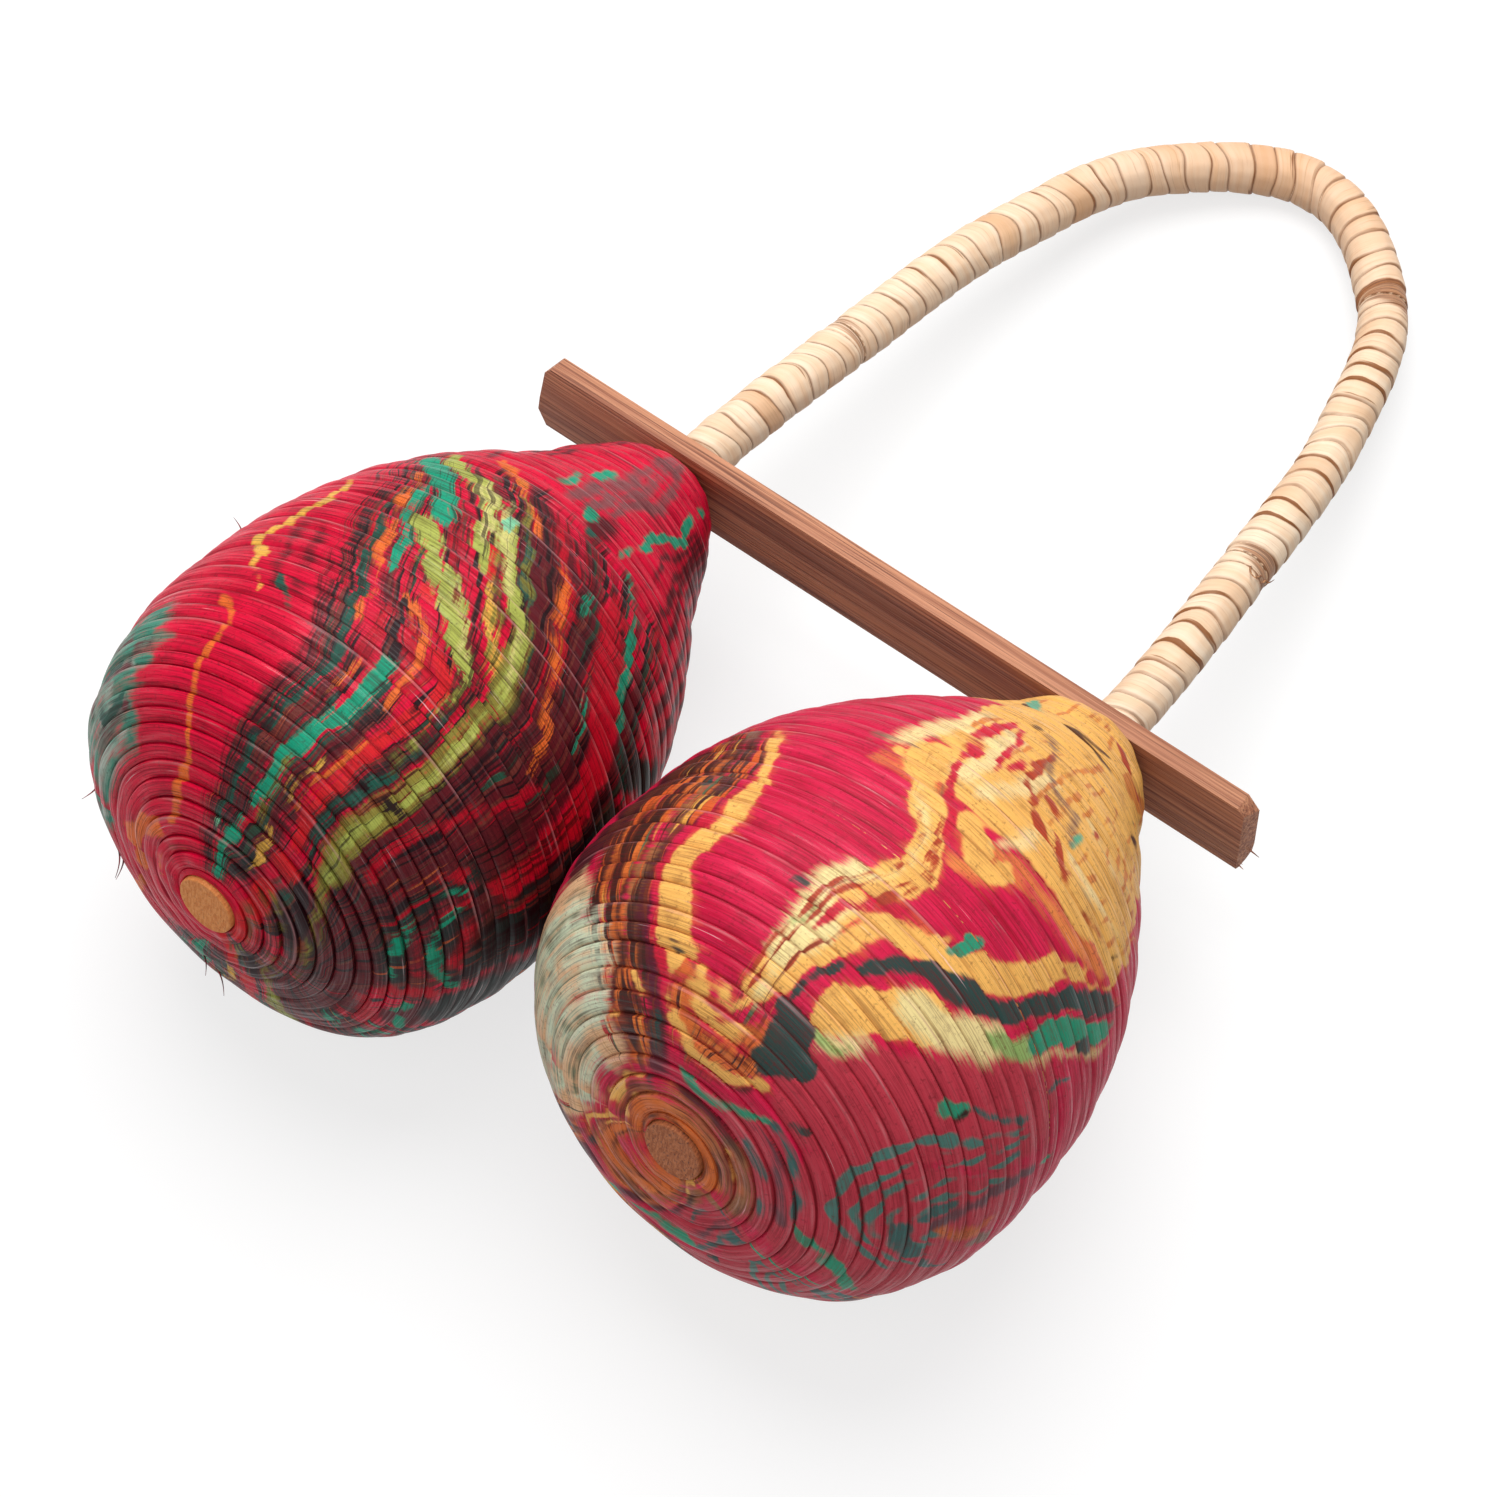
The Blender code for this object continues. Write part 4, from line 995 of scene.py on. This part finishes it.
        (0.9, (65, 46, 1.3), (60, 41, 1.3), (57, 37), (58, 32), (61, 27), (65, 24), (72, 22.3), (80, 23), (88, 25),
         (95, 28), (100, 33)),
        (0.6, (71, 60), (66.5, 51), (64, 44), (63, 38), (64, 32), (67, 28), (73, 25.8), (80, 26), (88, 28), (94, 32),
         (99, 38)),
        (0.65, (74, 61), (70, 52), (68, 44), (67, 38), (68, 33), (72, 29.5), (78, 28.4), (85, 29.5), (91, 33),
         (96, 39)),
        (0.75, (77, 58), (74, 50), (72, 43), (72, 37), (74, 33), (78, 31), (84, 31.5), (89, 35), (93, 41)),
        (0.8, (79, 50), (77, 44), (76, 39), (78, 35), (82, 33.5), (86, 36), (89, 41)))),
    ("mint", tint(224, 236, 204), HATCHED, tuple(
        (1.25, (-96, along), (-66, along), (stop, along + 0.5)) for along, stop in (
            (12, -66), (17.6, -48), (20.4, -44), (23, -47), (25.6, -43), (28.2, -46), (30.8, -44), (33.4, -47),
            (36, -53)))),
    ("moss", tint(116, 140, 112), HATCHED, tuple((0.6, (-96, along), (-72, along), (stop, along)) for along, stop in (
        (14.6, -58), (19, -60), (24.4, -62), (29.4, -52), (34.8, -58), (38.6, -54)))),
    ("seafoam", tint(96, 176, 142), CRISP, (
        (0.8, (32, 92), (32.5, 95), (32.5, 97)),
        (1.0, (-35, 135), (-28, 132.5), (-20, 129), (-12, 127.5), (-8, 126.5)))),
    ("teal", tint(52, 102, 98), CRISP, (
        (0.8, (35, 18), (42, 18.5), (50, 18.2), (58, 17.2), (68, 16.3), (78, 15.7), (87, 15.6)),
        (0.6, (57, 46), (60, 48.5), (63, 51), (66, 54.5), (68.5, 58), (71, 61.5)),
        (0.45, (66, 46), (68.5, 48), (70.5, 50.5)),
        (1.7, (82, 33.5), (88, 33), (93, 35)),
        (1.0, (80, 36), (79, 40)),
        (0.8, (97, 37), (101, 40), (104, 43)),
        (0.8, (69, 62), (69.5, 64)),
        (0.7, (74, 52.5), (77, 55)),
        (0.5, (70.5, 65.5), (73, 68)),
        (0.7, (38, 11.5), (50, 10.5), (60, 11), (70, 11.5), (80, 11), (95, 10.8)))),
    ("pine", tint(40, 68, 64), CRISP, (
        (2.2, (14, 23), (20, 25), (25, 27), (27, 29)),
        (2.7, (12, 26), (16, 28), (20, 29.5), (22, 31)),
        (1.6, (13, 31), (18, 32)),
        (1.3, (13, 33), (14, 37), (16, 40, 1.0), (18, 43, 0.9), (20, 46, 0.9), (22, 49), (26, 51), (31, 52.5, 1.6),
         (36, 54, 1.6), (41, 56, 1.6), (45, 58.5, 1.6), (48, 61.5, 1.7), (50, 65, 1.8), (51, 68, 1.8), (54, 71, 1.8),
         (57, 74, 1.9),
         (60, 77, 1.9), (64, 80, 1.8), (68, 83, 1.4), (72, 87, 1.0)),
        (0.9, (66, 71), (68, 73)),
        (0.9, (-31, 6.5), (-26, 8.5), (-22, 11), (-20, 14), (-19.5, 18), (-21, 21)),
        (0.5, (-22, 31.5), (-18, 31), (-12, 29.5)),
        (0.7, (38, 21), (42, 22), (45, 22.5)),
        (1.0, (-39, 59.5), (-38.6, 60.5)),
        (0.6, (-4, 46.8), (-1, 47.2)),
        (1.1, (-100, 54), (-97, 68), (-100, 82)), (1.2, (117, 62), (113, 78), (106, 92), (100, 104)))),
    ("red", tint(214, 34, 62), CRISP, (
        (0.7, (-14, 23.4), (-6, 21.9), (3, 21.4), (10, 22.6)),
        (0.6, (-9, 27), (-5, 26.2), (0, 25.9)),
        (0.6, (-12, 18.2), (-6, 16.6), (2, 15.6), (10, 16)),
        (0.9, (0, 24.5), (3, 24.7)),
        (0.7, (-23, 27), (-27, 32), (-31, 38), (-33.5, 43), (-31.5, 48), (-30, 54)),
        (0.8, (7.5, 41, 0.4), (7, 45, 0.5), (8, 48), (9, 51, 1.0), (11, 53), (14, 55)),
        (0.9, (12, 71), (9.5, 74), (5.5, 76.5), (3, 80), (1, 83.5), (-1.5, 87.5), (-1, 90)),
        (1.3, (-1, 90), (-2, 94), (-4, 98), (-5, 102), (-4.5, 107), (-3.5, 112)),
        (0.7, (7, 90), (7, 94, 1.0), (6, 97), (5, 100), (3, 104), (1, 108), (-1, 111)),
        (0.8, (10.5, 93), (10.5, 98), (10, 101.5)),
        (1.0, (55, 78), (58, 80), (61, 83)),
        (0.8, (65, 83), (68, 86.5), (72, 90.5)),
        (0.6, (70, 92), (73, 95)),
        (0.6, (64, 98), (67, 102), (70, 105)))),
    ("seam", tint(84, 50, 24), FINE, (
        (0.7, (-24, 128.5), (-10, 127), (0, 126.8), (12, 127.6), (22, 128.6), (30, 129.6)),
        (1.0, (4, 127), (18, 126.6), (32, 125.9), (46, 126.4)),
        (0.35, (30, 136), (40, 135), (54, 134.4), (66, 133.6)))),
    ("vein", tint(186, 70, 44), FINE, (
        (0.35, 2.2, 32, 72), (0.4, 2.35, 30, 56), (0.35, 2.7, 34, 74),
        (0.85, (20, 91), (17, 94.5), (14, 98), (13.5, 101), (12.5, 105), (12, 111)),
        (0.65, (27, 92), (25, 95), (22, 97)),
        (0.85, (17, 92), (21, 88.5), (26, 86.5), (32, 85), (42, 84.5), (48, 84), (55, 85)),
        (0.8, (28, 90), (31, 87.5), (36, 86.3)),
        (0.5, (47, 84), (47, 86.5)),
        (0.45, (55, 84), (55, 86.5)),
        (0.35, (10, 56.5), (13, 60), (12.5, 65), (10.5, 70), (7, 74)),
        (0.3, (9, 58), (10, 62), (9, 67), (7, 71)),
        (0.4, (-6, 20.5), (0, 19.8), (8, 19.5), (14, 20)),
        (0.35, (-20, 25.7), (-10, 25.8), (0, 25.3)),
        (0.4, (41, 117), (43, 120), (46, 124)),
        (0.5, (3, 135), (1, 139)),
        (0.4, (14, 138), (13, 141)),
        (0.4, (18, 137), (17, 141)),
        (0.7, (27, 137), (32, 135.5), (40, 135.2), (52, 134.5), (62, 134)),
        (0.5, (46, 70.6), (49, 70.7)),
        (0.6, (49, 73.7), (52, 73.8)),
        (0.8, (-12, 107), (-11, 107.2)),
        (0.5, (35.5, 102.5), (36, 102.7)))),
    ("smoke", tint(140, 104, 88), LOOSE, (
        (0.7, (31, 92), (29, 97), (28, 100)),
        (0.5, (26, 99), (20, 100.5)),
        (0.6, (19, 102), (15, 104.5), (13.5, 108), (12, 112), (8, 113.5), (5, 116)),
        (0.9, (-18, 82), (-14, 82.5), (-10, 83)),
        (0.7, (-40, 72), (-44, 75), (-48, 76.5)),
        (1.4, (96, 47), (100, 50)))),
    ("black", tint(44, 26, 22), CRISP, (
        (0.9, (0, 115.7), (1, 115.8)),
        (0.4, (43, 96.2), (44, 97.2)),
        (0.45, (60.5, 87.5), (62, 89.5)),
        (0.6, (52, 121), (54, 123)),
        (0.5, (58, 118), (61, 119.5)),
        (0.55, (58, 42), (57, 45)),
        (0.4, (-16, 24), (-15, 25.5)))))


def egg_line(head):
    """A head's rows for round_the_line, from its plug to its neck."""
    knots = [(PLUG_HOLE, 0), *((head["belly"] * width, head["length"] * share) for share, width in head["outline"])]
    outline = smooth_through(knots + [(head["neck"], head["length"])])
    run = length_along(outline)
    slope = np.gradient(outline, run, axis=0)
    slope /= np.linalg.norm(slope, axis=1)[:, None]
    axis = np.array(head["axis"])
    up = np.array((0, 0, 1)) - axis * axis[2]
    up /= np.linalg.norm(up)
    ways = [np.tile(way, (len(run), 1)) for way in (up, np.cross(axis, up), axis)]
    return np.column_stack((
        run, np.array(head["pole"]) + outline[:, 1:] * axis, *ways, outline[:, 0], slope[:, 1], -slope[:, 0]))


def ridge_depth(angle, distance):
    """How deep the turns are felt: rounded at the sides and the pole, rubbed nearly flat on top of the belly."""
    from_top = np.degrees((angle + math.pi - RUBBED_ANGLE) % math.tau - math.pi)
    from_spot = (distance - RUBBED_AT) / RUBBED_LENGTH
    return RIDGE_DEPTH - RUBBED_OFF * np.exp(-((from_top / RUBBED_DEGREES) ** 2) - from_spot**2)


LONGEST_STRETCH, LANE_STEP = 5, 3
TIP_WIDTH, TIP_SHARE = 0.3, 0.12
PAST_DEGREES, PAST_LANES = 120, 10
WAVES = 7
OUTSIDE = 4.0


def round_corners(stroke):
    """A stroke's points with their corners cut twice, and each stretch kept short."""
    width = stroke[0]
    points = np.array([(*point, width)[:3] for point in stroke[1:]], float)
    for _ in range(2):
        near, far = points[:-1], points[1:]
        cut = np.stack((near * 0.75 + far * 0.25, near * 0.25 + far * 0.75), 1).reshape(-1, 3)
        points = np.vstack((points[:1], cut, points[-1:]))
    steps = np.maximum(1, np.ceil(np.abs(np.diff(points[:, 0])) / LONGEST_STRETCH).astype(int))
    pieces = [np.linspace(a, b, n, endpoint=False) for a, b, n in zip(points, points[1:], steps)]
    points = np.vstack((*pieces, points[-1:]))
    if len(stroke) > 3:
        run = np.linspace(0, 1, len(points))
        points[:, 2] *= TIP_WIDTH + (1 - TIP_WIDTH) * np.clip(np.minimum(run, 1 - run) / TIP_SHARE, 0, 1)
    return points


def drawn_out(flow, width, lane, start, stop):
    """The points of a stroke that runs between two lines of the flow."""
    along = np.linspace(start, stop, max(5, int((stop - start) / LANE_STEP)))
    first = min(int(lane), len(flow) - 2)
    low, high = (np.interp(along, *np.array(line).T[::-1]) for line in flow[first:first + 2])
    return (width, *zip(low + (high - low) * (lane - first), along))


def lane_of(flow, degrees, along):
    """Each point's place between the lines of the flow, counted on by the same width past the first and the last."""
    lines = np.stack([np.interp(along, *np.array(line).T[::-1]) for line in flow])
    lines = np.vstack((lines[:1] - PAST_DEGREES, lines, lines[-1:] + PAST_DEGREES))
    counts = (-PAST_LANES, *range(len(flow)), len(flow) - 1 + PAST_LANES)
    lane = np.full(len(along), float(-PAST_LANES))
    for low, high, first, second in zip(lines, lines[1:], counts, counts[1:]):
        lane += np.clip((degrees - low) / (high - low), 0, 1) * (second - first)
    return lane


def ripple(spots, swing, seed):
    """A smooth unevenness over a surface, about -1 to 1, with about this length to a swing."""
    toss = np.random.default_rng(seed)
    ways = toss.normal(size=(WAVES, 3))
    ways *= (math.tau / swing / toss.uniform(0.6, 1.6, WAVES) / np.linalg.norm(ways, axis=1))[:, None]
    return np.sin(spots @ ways.T + toss.uniform(0, math.tau, WAVES)).sum(1) / WAVES ** 0.5


def rippled(spots, ripples, seed):
    """Several ripples together, each as its height, its length to a swing and what is added to the seed."""
    return sum(height * ripple(spots, swing, seed + more) for height, swing, more in ripples)


def covered(line, flow, distance, spots, strokes):
    """How far inside a stroke of this paint each point of a head lies, in millimetres, down to -OUTSIDE outside."""
    cover = np.full(len(spots), -OUTSIDE)
    for stroke in strokes:
        bend = round_corners(stroke if isinstance(stroke[1], tuple) else drawn_out(flow, *stroke))
        reach = bend[:, 2].max() + OUTSIDE
        near = np.flatnonzero((distance > bend[:, 1].min() - reach) & (distance < bend[:, 1].max() + reach))
        drawn = 1000 * round_the_line(line, bend[:, 1] / 1000, np.radians(bend[:, 0]), np.zeros(len(bend)))
        low, high = drawn.min(0) - reach, drawn.max(0) + reach
        near = near[((spots[near] > low) & (spots[near] < high)).all(1)]
        best = cover[near]
        for a, b, wide_a, wide_b in zip(drawn, drawn[1:], bend[:, 2], bend[1:, 2]):
            way = b - a
            share = np.clip((spots[near] - a) @ way / max(way @ way, 1e-9), 0, 1)
            away = np.linalg.norm(spots[near] - a - share[:, None] * way, axis=1)
            best = np.maximum(best, wide_a + (wide_b - wide_a) * share - away)
        cover[near] = best
    return cover


# An edge of paint, combed out along the fibres and drawn out along the flow
paint_edge, given, put = new_group(
    "paint_edge",
    {"Cover": 0, "Fine": 0.5, "Coarse": 0.5, "Drawn": 0.5, "Draw": 1, "Comb": 1, "Soft": 0.3}, ("Mask",))
cover, fine, coarse, drawn, draw, comb, soft = given.outputs[:7]
tooth = counted(paint_edge, "MULTIPLY_ADD", fine, 0.6, -0.5)
tooth = counted(paint_edge, "ADD", tooth, counted(paint_edge, "MULTIPLY", coarse, 0.4))
tooth = counted(paint_edge, "MULTIPLY", tooth, comb)
pulled = counted(paint_edge, "MULTIPLY", counted(paint_edge, "SUBTRACT", drawn, 0.5), draw)
shifted = counted(paint_edge, "ADD", counted(paint_edge, "ADD", cover, tooth), pulled)
laid_on = ramped(paint_edge, shifted, counted(paint_edge, "MULTIPLY", soft, -1.0), soft)
thin = ramped(paint_edge, fine, 0.40, 0.66, 1.0, 0.96)
feed(paint_edge, put, {"Mask": counted(paint_edge, "MULTIPLY", laid_on, thin)})


def marbled(name, ground, deep, dark, hatching, draw, paints, lines, width):
    """Varnished paint on wound fibre: ground, paints, drawn lines, and painted crease shade, lip highlights and
    glints.
    """
    material, tree, surface = shown_by(name)
    fibre = place(tree, "ShaderNodeGroup", {"Width": width}, node_tree=streaks)
    fine, coarse, across = (fibre.outputs[key] for key in ("Fine", "Coarse", "Across"))
    tone = mixed(tree, ramped(tree, coarse, 0.30, 0.75), ground, deep)
    lane, along, combed = (marked(tree, key) for key in ("lane", "along", "combed"))
    shares = []
    for number, (_, rate, low, high) in enumerate(lines):
        flow_place = place(tree, "ShaderNodeCombineXYZ", {0: lane, 1: along, 2: 3.7 * number}).outputs[0]
        drawn = noise_on(tree, flow_place, (rate, 0.045, 1), 2.0, 0.5)
        shares.append(counted(tree, "MULTIPLY", ramped(tree, drawn, low, high), combed))
    drawn = place(tree, "ShaderNodeMix", {0: combed, 2: 0.5, 3: drawn}, data_type="FLOAT").outputs[0]
    here = on_piece(tree)
    grit = noise_on(tree, here, (1300, 1300, 1300), 3.0, 0.7)
    blotch = noise_on(tree, here, (240, 240, 240), 3.0, 0.6)
    for paint, colour, (comb, soft), _ in paints:
        if paint in PAINTS_OVER_LINES:
            for share, (line_tint, *_) in zip(shares[:-1], lines):
                tone = mixed(tree, share, tone, line_tint)
        cover = marked(tree, paint)
        if paint == "ochre":
            run_out = counted(tree, "ADD", cover, counted(tree, "MULTIPLY_ADD", coarse, 6.0, -2.2))
            tone = mixed(tree, ramped(tree, run_out, -0.6, 2.0, 0, 0.7), tone, tint(232, 104, 66))
        laid = place(tree, "ShaderNodeGroup", {
            "Cover": cover, "Fine": fine, "Coarse": coarse, "Drawn": drawn, "Draw": draw, "Comb": comb, "Soft": soft},
            node_tree=paint_edge)
        tone = mixed(tree, laid.outputs[0], tone, colour)
    tone = mixed(tree, counted(tree, "MULTIPLY", shares[-1], 0.75), tone, lines[-1][0])
    hatch = place(tree, "ShaderNodeGroup", {"Width": width * 1.7}, node_tree=streaks)
    shaded = counted(tree, "MAXIMUM", ramped(tree, fine, 0.50, 0.64), ramped(tree, hatch.outputs["Fine"], 0.52, 0.66))
    shaded = counted(tree, "MULTIPLY", shaded, hatching)
    tone = mixed(tree, shaded, tone, dark)
    tone = mixed(tree, ramped(tree, grit, 0.54, 0.74, 0, 0.5), tone, dark)
    tone = mixed(tree, ramped(tree, blotch, 0.52, 0.78, 0, 0.3), tone, dark)
    # Painted shade in the creases at both edges of each turn
    crease_shade = counted(tree, "ADD", ramped(tree, across, 0.12, 0.0, 0, 0.55), ramped(tree, across, 0.94, 1.0, 0, 0.55))
    tone = mixed(tree, counted(tree, "MULTIPLY", crease_shade, ramped(tree, coarse, 0.35, 0.6, 0.4, 1.0)), tone, dark)
    # Painted highlight along each turn's raised lip, where it catches the light
    lip_highlight = counted(tree, "MULTIPLY", ramped(tree, across, 0.74, 0.86), ramped(tree, across, 0.97, 0.92))
    lip_highlight = counted(tree, "MULTIPLY", lip_highlight, ramped(tree, coarse, 0.52, 0.68, 0, 0.30))
    tone = mixed(tree, lip_highlight, tone, tint(240, 168, 172))
    # Painted glints: pale flecks along the fibres where the varnish would catch the light
    painted_glint = ramped(tree, hatch.outputs["Coarse"], 0.60, 0.68)
    painted_glint = counted(tree, "MULTIPLY", painted_glint, ramped(tree, fine, 0.42, 0.34))
    tone = mixed(tree, counted(tree, "MULTIPLY", painted_glint, 0.5), tone, tint(255, 216, 220))
    feed(tree, surface, {
        "Specular IOR Level": 0.1, "Coat Weight": ramped(tree, fine, 0.50, 0.34, 0.04, 0.40), "Coat Roughness": 0.2})
    rough = ramped(tree, fine, 0.25, 0.75, 0.34, 0.6)
    finished(tree, surface, tone, rough, counted(tree, "ADD", fine, coarse), 0.55, 0.00022)
    return material


head_finish = {
    "left": (
        marbled(
            "left_marbling", tint(230, 6, 60), tint(196, 2, 44), tint(50, 8, 18), 0.55, 3.6,
            LEFT_PAINTS, LEFT_LINES, HEADS["left"]["pitch"]),
        LEFT_FLOW, LEFT_COMBED, LEFT_PAINTS),
    "right": (
        marbled(
            "right_marbling", tint(224, 34, 80), tint(188, 12, 52), tint(104, 30, 34), 0.44, 1.0,
            RIGHT_PAINTS, RIGHT_LINES, HEADS["right"]["pitch"]),
        RIGHT_FLOW, RIGHT_COMBED, RIGHT_PAINTS)}

# The paint is laid partly by the turn and mostly by the spot. The far side repeats the near one, turned back and
# narrow at both its edges, so that neither edge shows as a mirror line
SEEN_FROM, SEEN_TO = -100, 118
BY_SPOT = 0.75
FAR_SWAY, TURN_JOG = 9, 0.4
JOG_RATES = (0.43, 0.77, 1.13)
COMB_MARGIN, COMB_FADE = 1, 2.5
BENDS = ((0.7, 16, 0), (0.35, 6, 3))
EDGE_RIPPLES = ((0.15, 5, 0), (0.1, 2.4, 30))
LEAST_RADIUS = 8
for side, head in HEADS.items():
    line = egg_line(head)
    material, flow, combed, paints = head_finish[side]
    start = 0.0
    for half, (stop, columns) in zip(("pole", "neck"), head["halves"]):
        end = stop or line[-1, 0]
        seed = head["seed"] + (half == "neck")
        edges = wound_edges(start, end, head["pitch"], columns, EDGE_UNEVENNESS, seed)
        winding, inside, turn, angle, distance, middle = wind(
            f"{side}_head_{half}_winding", line, edges, columns, head["pitch"], HEAD_RIDGE, SHELL_WALL, math.pi,
            ridge_depth, seed + 50, line[-1, 0] - NECK_CORE)
        drawn_at = 1000 * (BY_SPOT * distance + (1 - BY_SPOT) * middle)
        radius = 1000 * np.interp(distance, line[:, 0], line[:, RADIUS])
        degrees = (np.degrees(angle) - SEEN_FROM) % 360 + SEEN_FROM
        behind = degrees > SEEN_TO
        share = np.clip((degrees - SEEN_TO) / (360 + SEEN_FROM - SEEN_TO), 0, 1)
        share = 0.5 + np.arcsin(2 * share - 1) / math.pi
        degrees = np.where(behind, SEEN_TO - share * (SEEN_TO - SEEN_FROM), degrees)
        sway = FAR_SWAY * np.sin(math.pi * share) * np.sin(math.tau * share + 0.6)
        drawn_at = np.clip(drawn_at + np.where(behind, sway, 0), 0, 1000 * line[-1, 0])
        degrees = degrees + np.degrees(TURN_JOG * waver(turn, JOG_RATES, seed + 80) / radius)
        spots = 1000 * round_the_line(line, drawn_at / 1000, np.radians(degrees), np.zeros(len(degrees)))
        bent = np.stack([rippled(spots, BENDS, way) for way in range(3)], -1)
        bent_round = np.degrees(bent[:, 0] / np.maximum(radius, LEAST_RADIUS))
        mark(winding, "lane", lane_of(flow, degrees + bent_round, drawn_at + bent[:, 1]))
        mark(winding, "along", drawn_at)
        in_comb = covered(line, flow, drawn_at, spots + bent, combed) + COMB_MARGIN
        mark(winding, "combed", np.clip(in_comb / COMB_FADE, 0, 1))
        for number, (paint, _, _, strokes) in enumerate(paints):
            uneven = rippled(spots, EDGE_RIPPLES, number)
            mark(winding, paint, covered(line, flow, drawn_at, spots + bent, strokes) + uneven)
            mark(inside, paint, np.full(len(inside.data.vertices), OUTSIDE if paint == "ochre" else -OUTSIDE))
        close_up(winding, inside)
        winding.data.materials.append(material)
        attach(winding, "frame")
        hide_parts(f"{side}_head_shell")
        start = end


# A few ends of dyed fibre stand off the left head where the strip's edge is worn: hair-thin, dark red, tapered, and
# held at their root by the winding. Each is given as at the join, but from the plug and from the top of the head.
HEAD_FIBRE_RADIUS = 0.00019
HEAD_FIBRES = (
    (0.0262, -122, -0.0025, -7), (0.0252, -125, 0.0015, -6), (0.0180, -168, -0.0025, -9),
    (0.0215, -174, 0.0015, -8), (0.0300, -104, 0.001, -4), (0.0700, -60, 0.003, -4))
dyed_fibre, tree, surface = shown_by("dyed_fibre")
mottle = noise_on(tree, on_piece(tree), (900, 900, 900))
tone = mixed(tree, ramped(tree, mottle, 0.35, 0.65), tint(150, 24, 38), tint(58, 14, 20))
finished(tree, surface, tone, 0.6)
fibre_ends(
    "left_head_fibre_ends", egg_line(HEADS["left"]), HEAD_FIBRES, HEAD_FIBRE_RADIUS, dyed_fibre)


# Each head's pole is closed by a short round plug, sawn off almost flush and glued in: tan wood with saw lines on
# the left, brown pithy stalk on the right.
PLUG_RADIUS, PLUG_LENGTH, PLUG_PROUD = 0.0053, 0.012, 0.0003
PLUG_SIDES, PLUG_EDGE = 96, 0.0003
RINGS, RING_WIDTH = 9, 0.0005
SAW_ACROSS, SAW_ALONG = 5200, 900
SAW_DEPTH, SAW_WAVE = 0.00006, 0.00003
# Each plug's light and dark tint, the tint of its pores and how much they show, and where its saw lines start
PLUG_LOOKS = {
    "left": (tint(236, 156, 84), tint(216, 126, 62), tint(150, 78, 40), 0.35, 4),
    "right": (tint(190, 112, 64), tint(152, 82, 46), tint(88, 44, 28), 0.8, 5)}
for side, head in HEADS.items():
    light, dark, pit, pitting, first_line = PLUG_LOOKS[side]
    bpy.ops.object.select_all(action="DESELECT")
    bpy.ops.mesh.primitive_cylinder_add(vertices=PLUG_SIDES, radius=PLUG_RADIUS, depth=PLUG_LENGTH)
    plug = bpy.context.object
    plug.name = plug.data.name = f"{side}_plug"
    rub_edges(plug, PLUG_EDGE, 50)
    bpy.ops.object.mode_set(mode="EDIT")
    bpy.ops.mesh.select_all(action="DESELECT")
    bpy.ops.object.mode_set(mode="OBJECT")
    for face in plug.data.polygons:
        face.select = abs(face.normal.z) > 0.99
    bpy.ops.object.mode_set(mode="EDIT")
    for _ in range(RINGS):
        bpy.ops.mesh.inset(thickness=RING_WIDTH, use_individual=True)
    bpy.ops.object.mode_set(mode="OBJECT")
    for point in plug.data.vertices:
        if math.hypot(point.co.x, point.co.y) < PLUG_RADIUS - RING_WIDTH:
            kerf = math.sin(SAW_ACROSS * point.co.x + SAW_ALONG * point.co.y + first_line)
            point.co.z -= math.copysign(SAW_DEPTH + SAW_WAVE * kerf, point.co.z)
    bpy.ops.object.shade_smooth_by_angle(angle=math.radians(40))
    axis = Vector(head["axis"])
    stand = axis.to_track_quat("Z", "Y").to_matrix().to_4x4()
    seat = Matrix.Translation(Vector(head["pole"]) + axis * (PLUG_LENGTH / 2 - PLUG_PROUD)) @ stand
    plug.data.transform(seat)

    sawn, tree, surface = shown_by(f"{side}_sawn_end")
    from_pole = {"Vector": on_piece(tree), "Location": -Vector(head["pole"])}
    mapped = place(tree, "ShaderNodeMapping", from_pole).outputs[0]
    lines = noise_on(tree, mapped, (2600, 500, 700), 3.0, 0.6)
    pores = noise_on(tree, mapped, (2600, 900, 2600), 2.0, 0.5)
    tone = mixed(tree, ramped(tree, lines, 0.32, 0.68), light, dark)
    tone = mixed(tree, ramped(tree, pores, 0.56, 0.68, 0, pitting), tone, pit)
    rough = ramped(tree, lines, 0.2, 0.8, 0.55, 0.8)
    finished(tree, surface, tone, rough, counted(tree, "ADD", lines, pores), 0.5, 0.0003)
    plug.data.materials.append(sawn)
    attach(plug, "frame")
    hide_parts(f"{side}_end_plug")
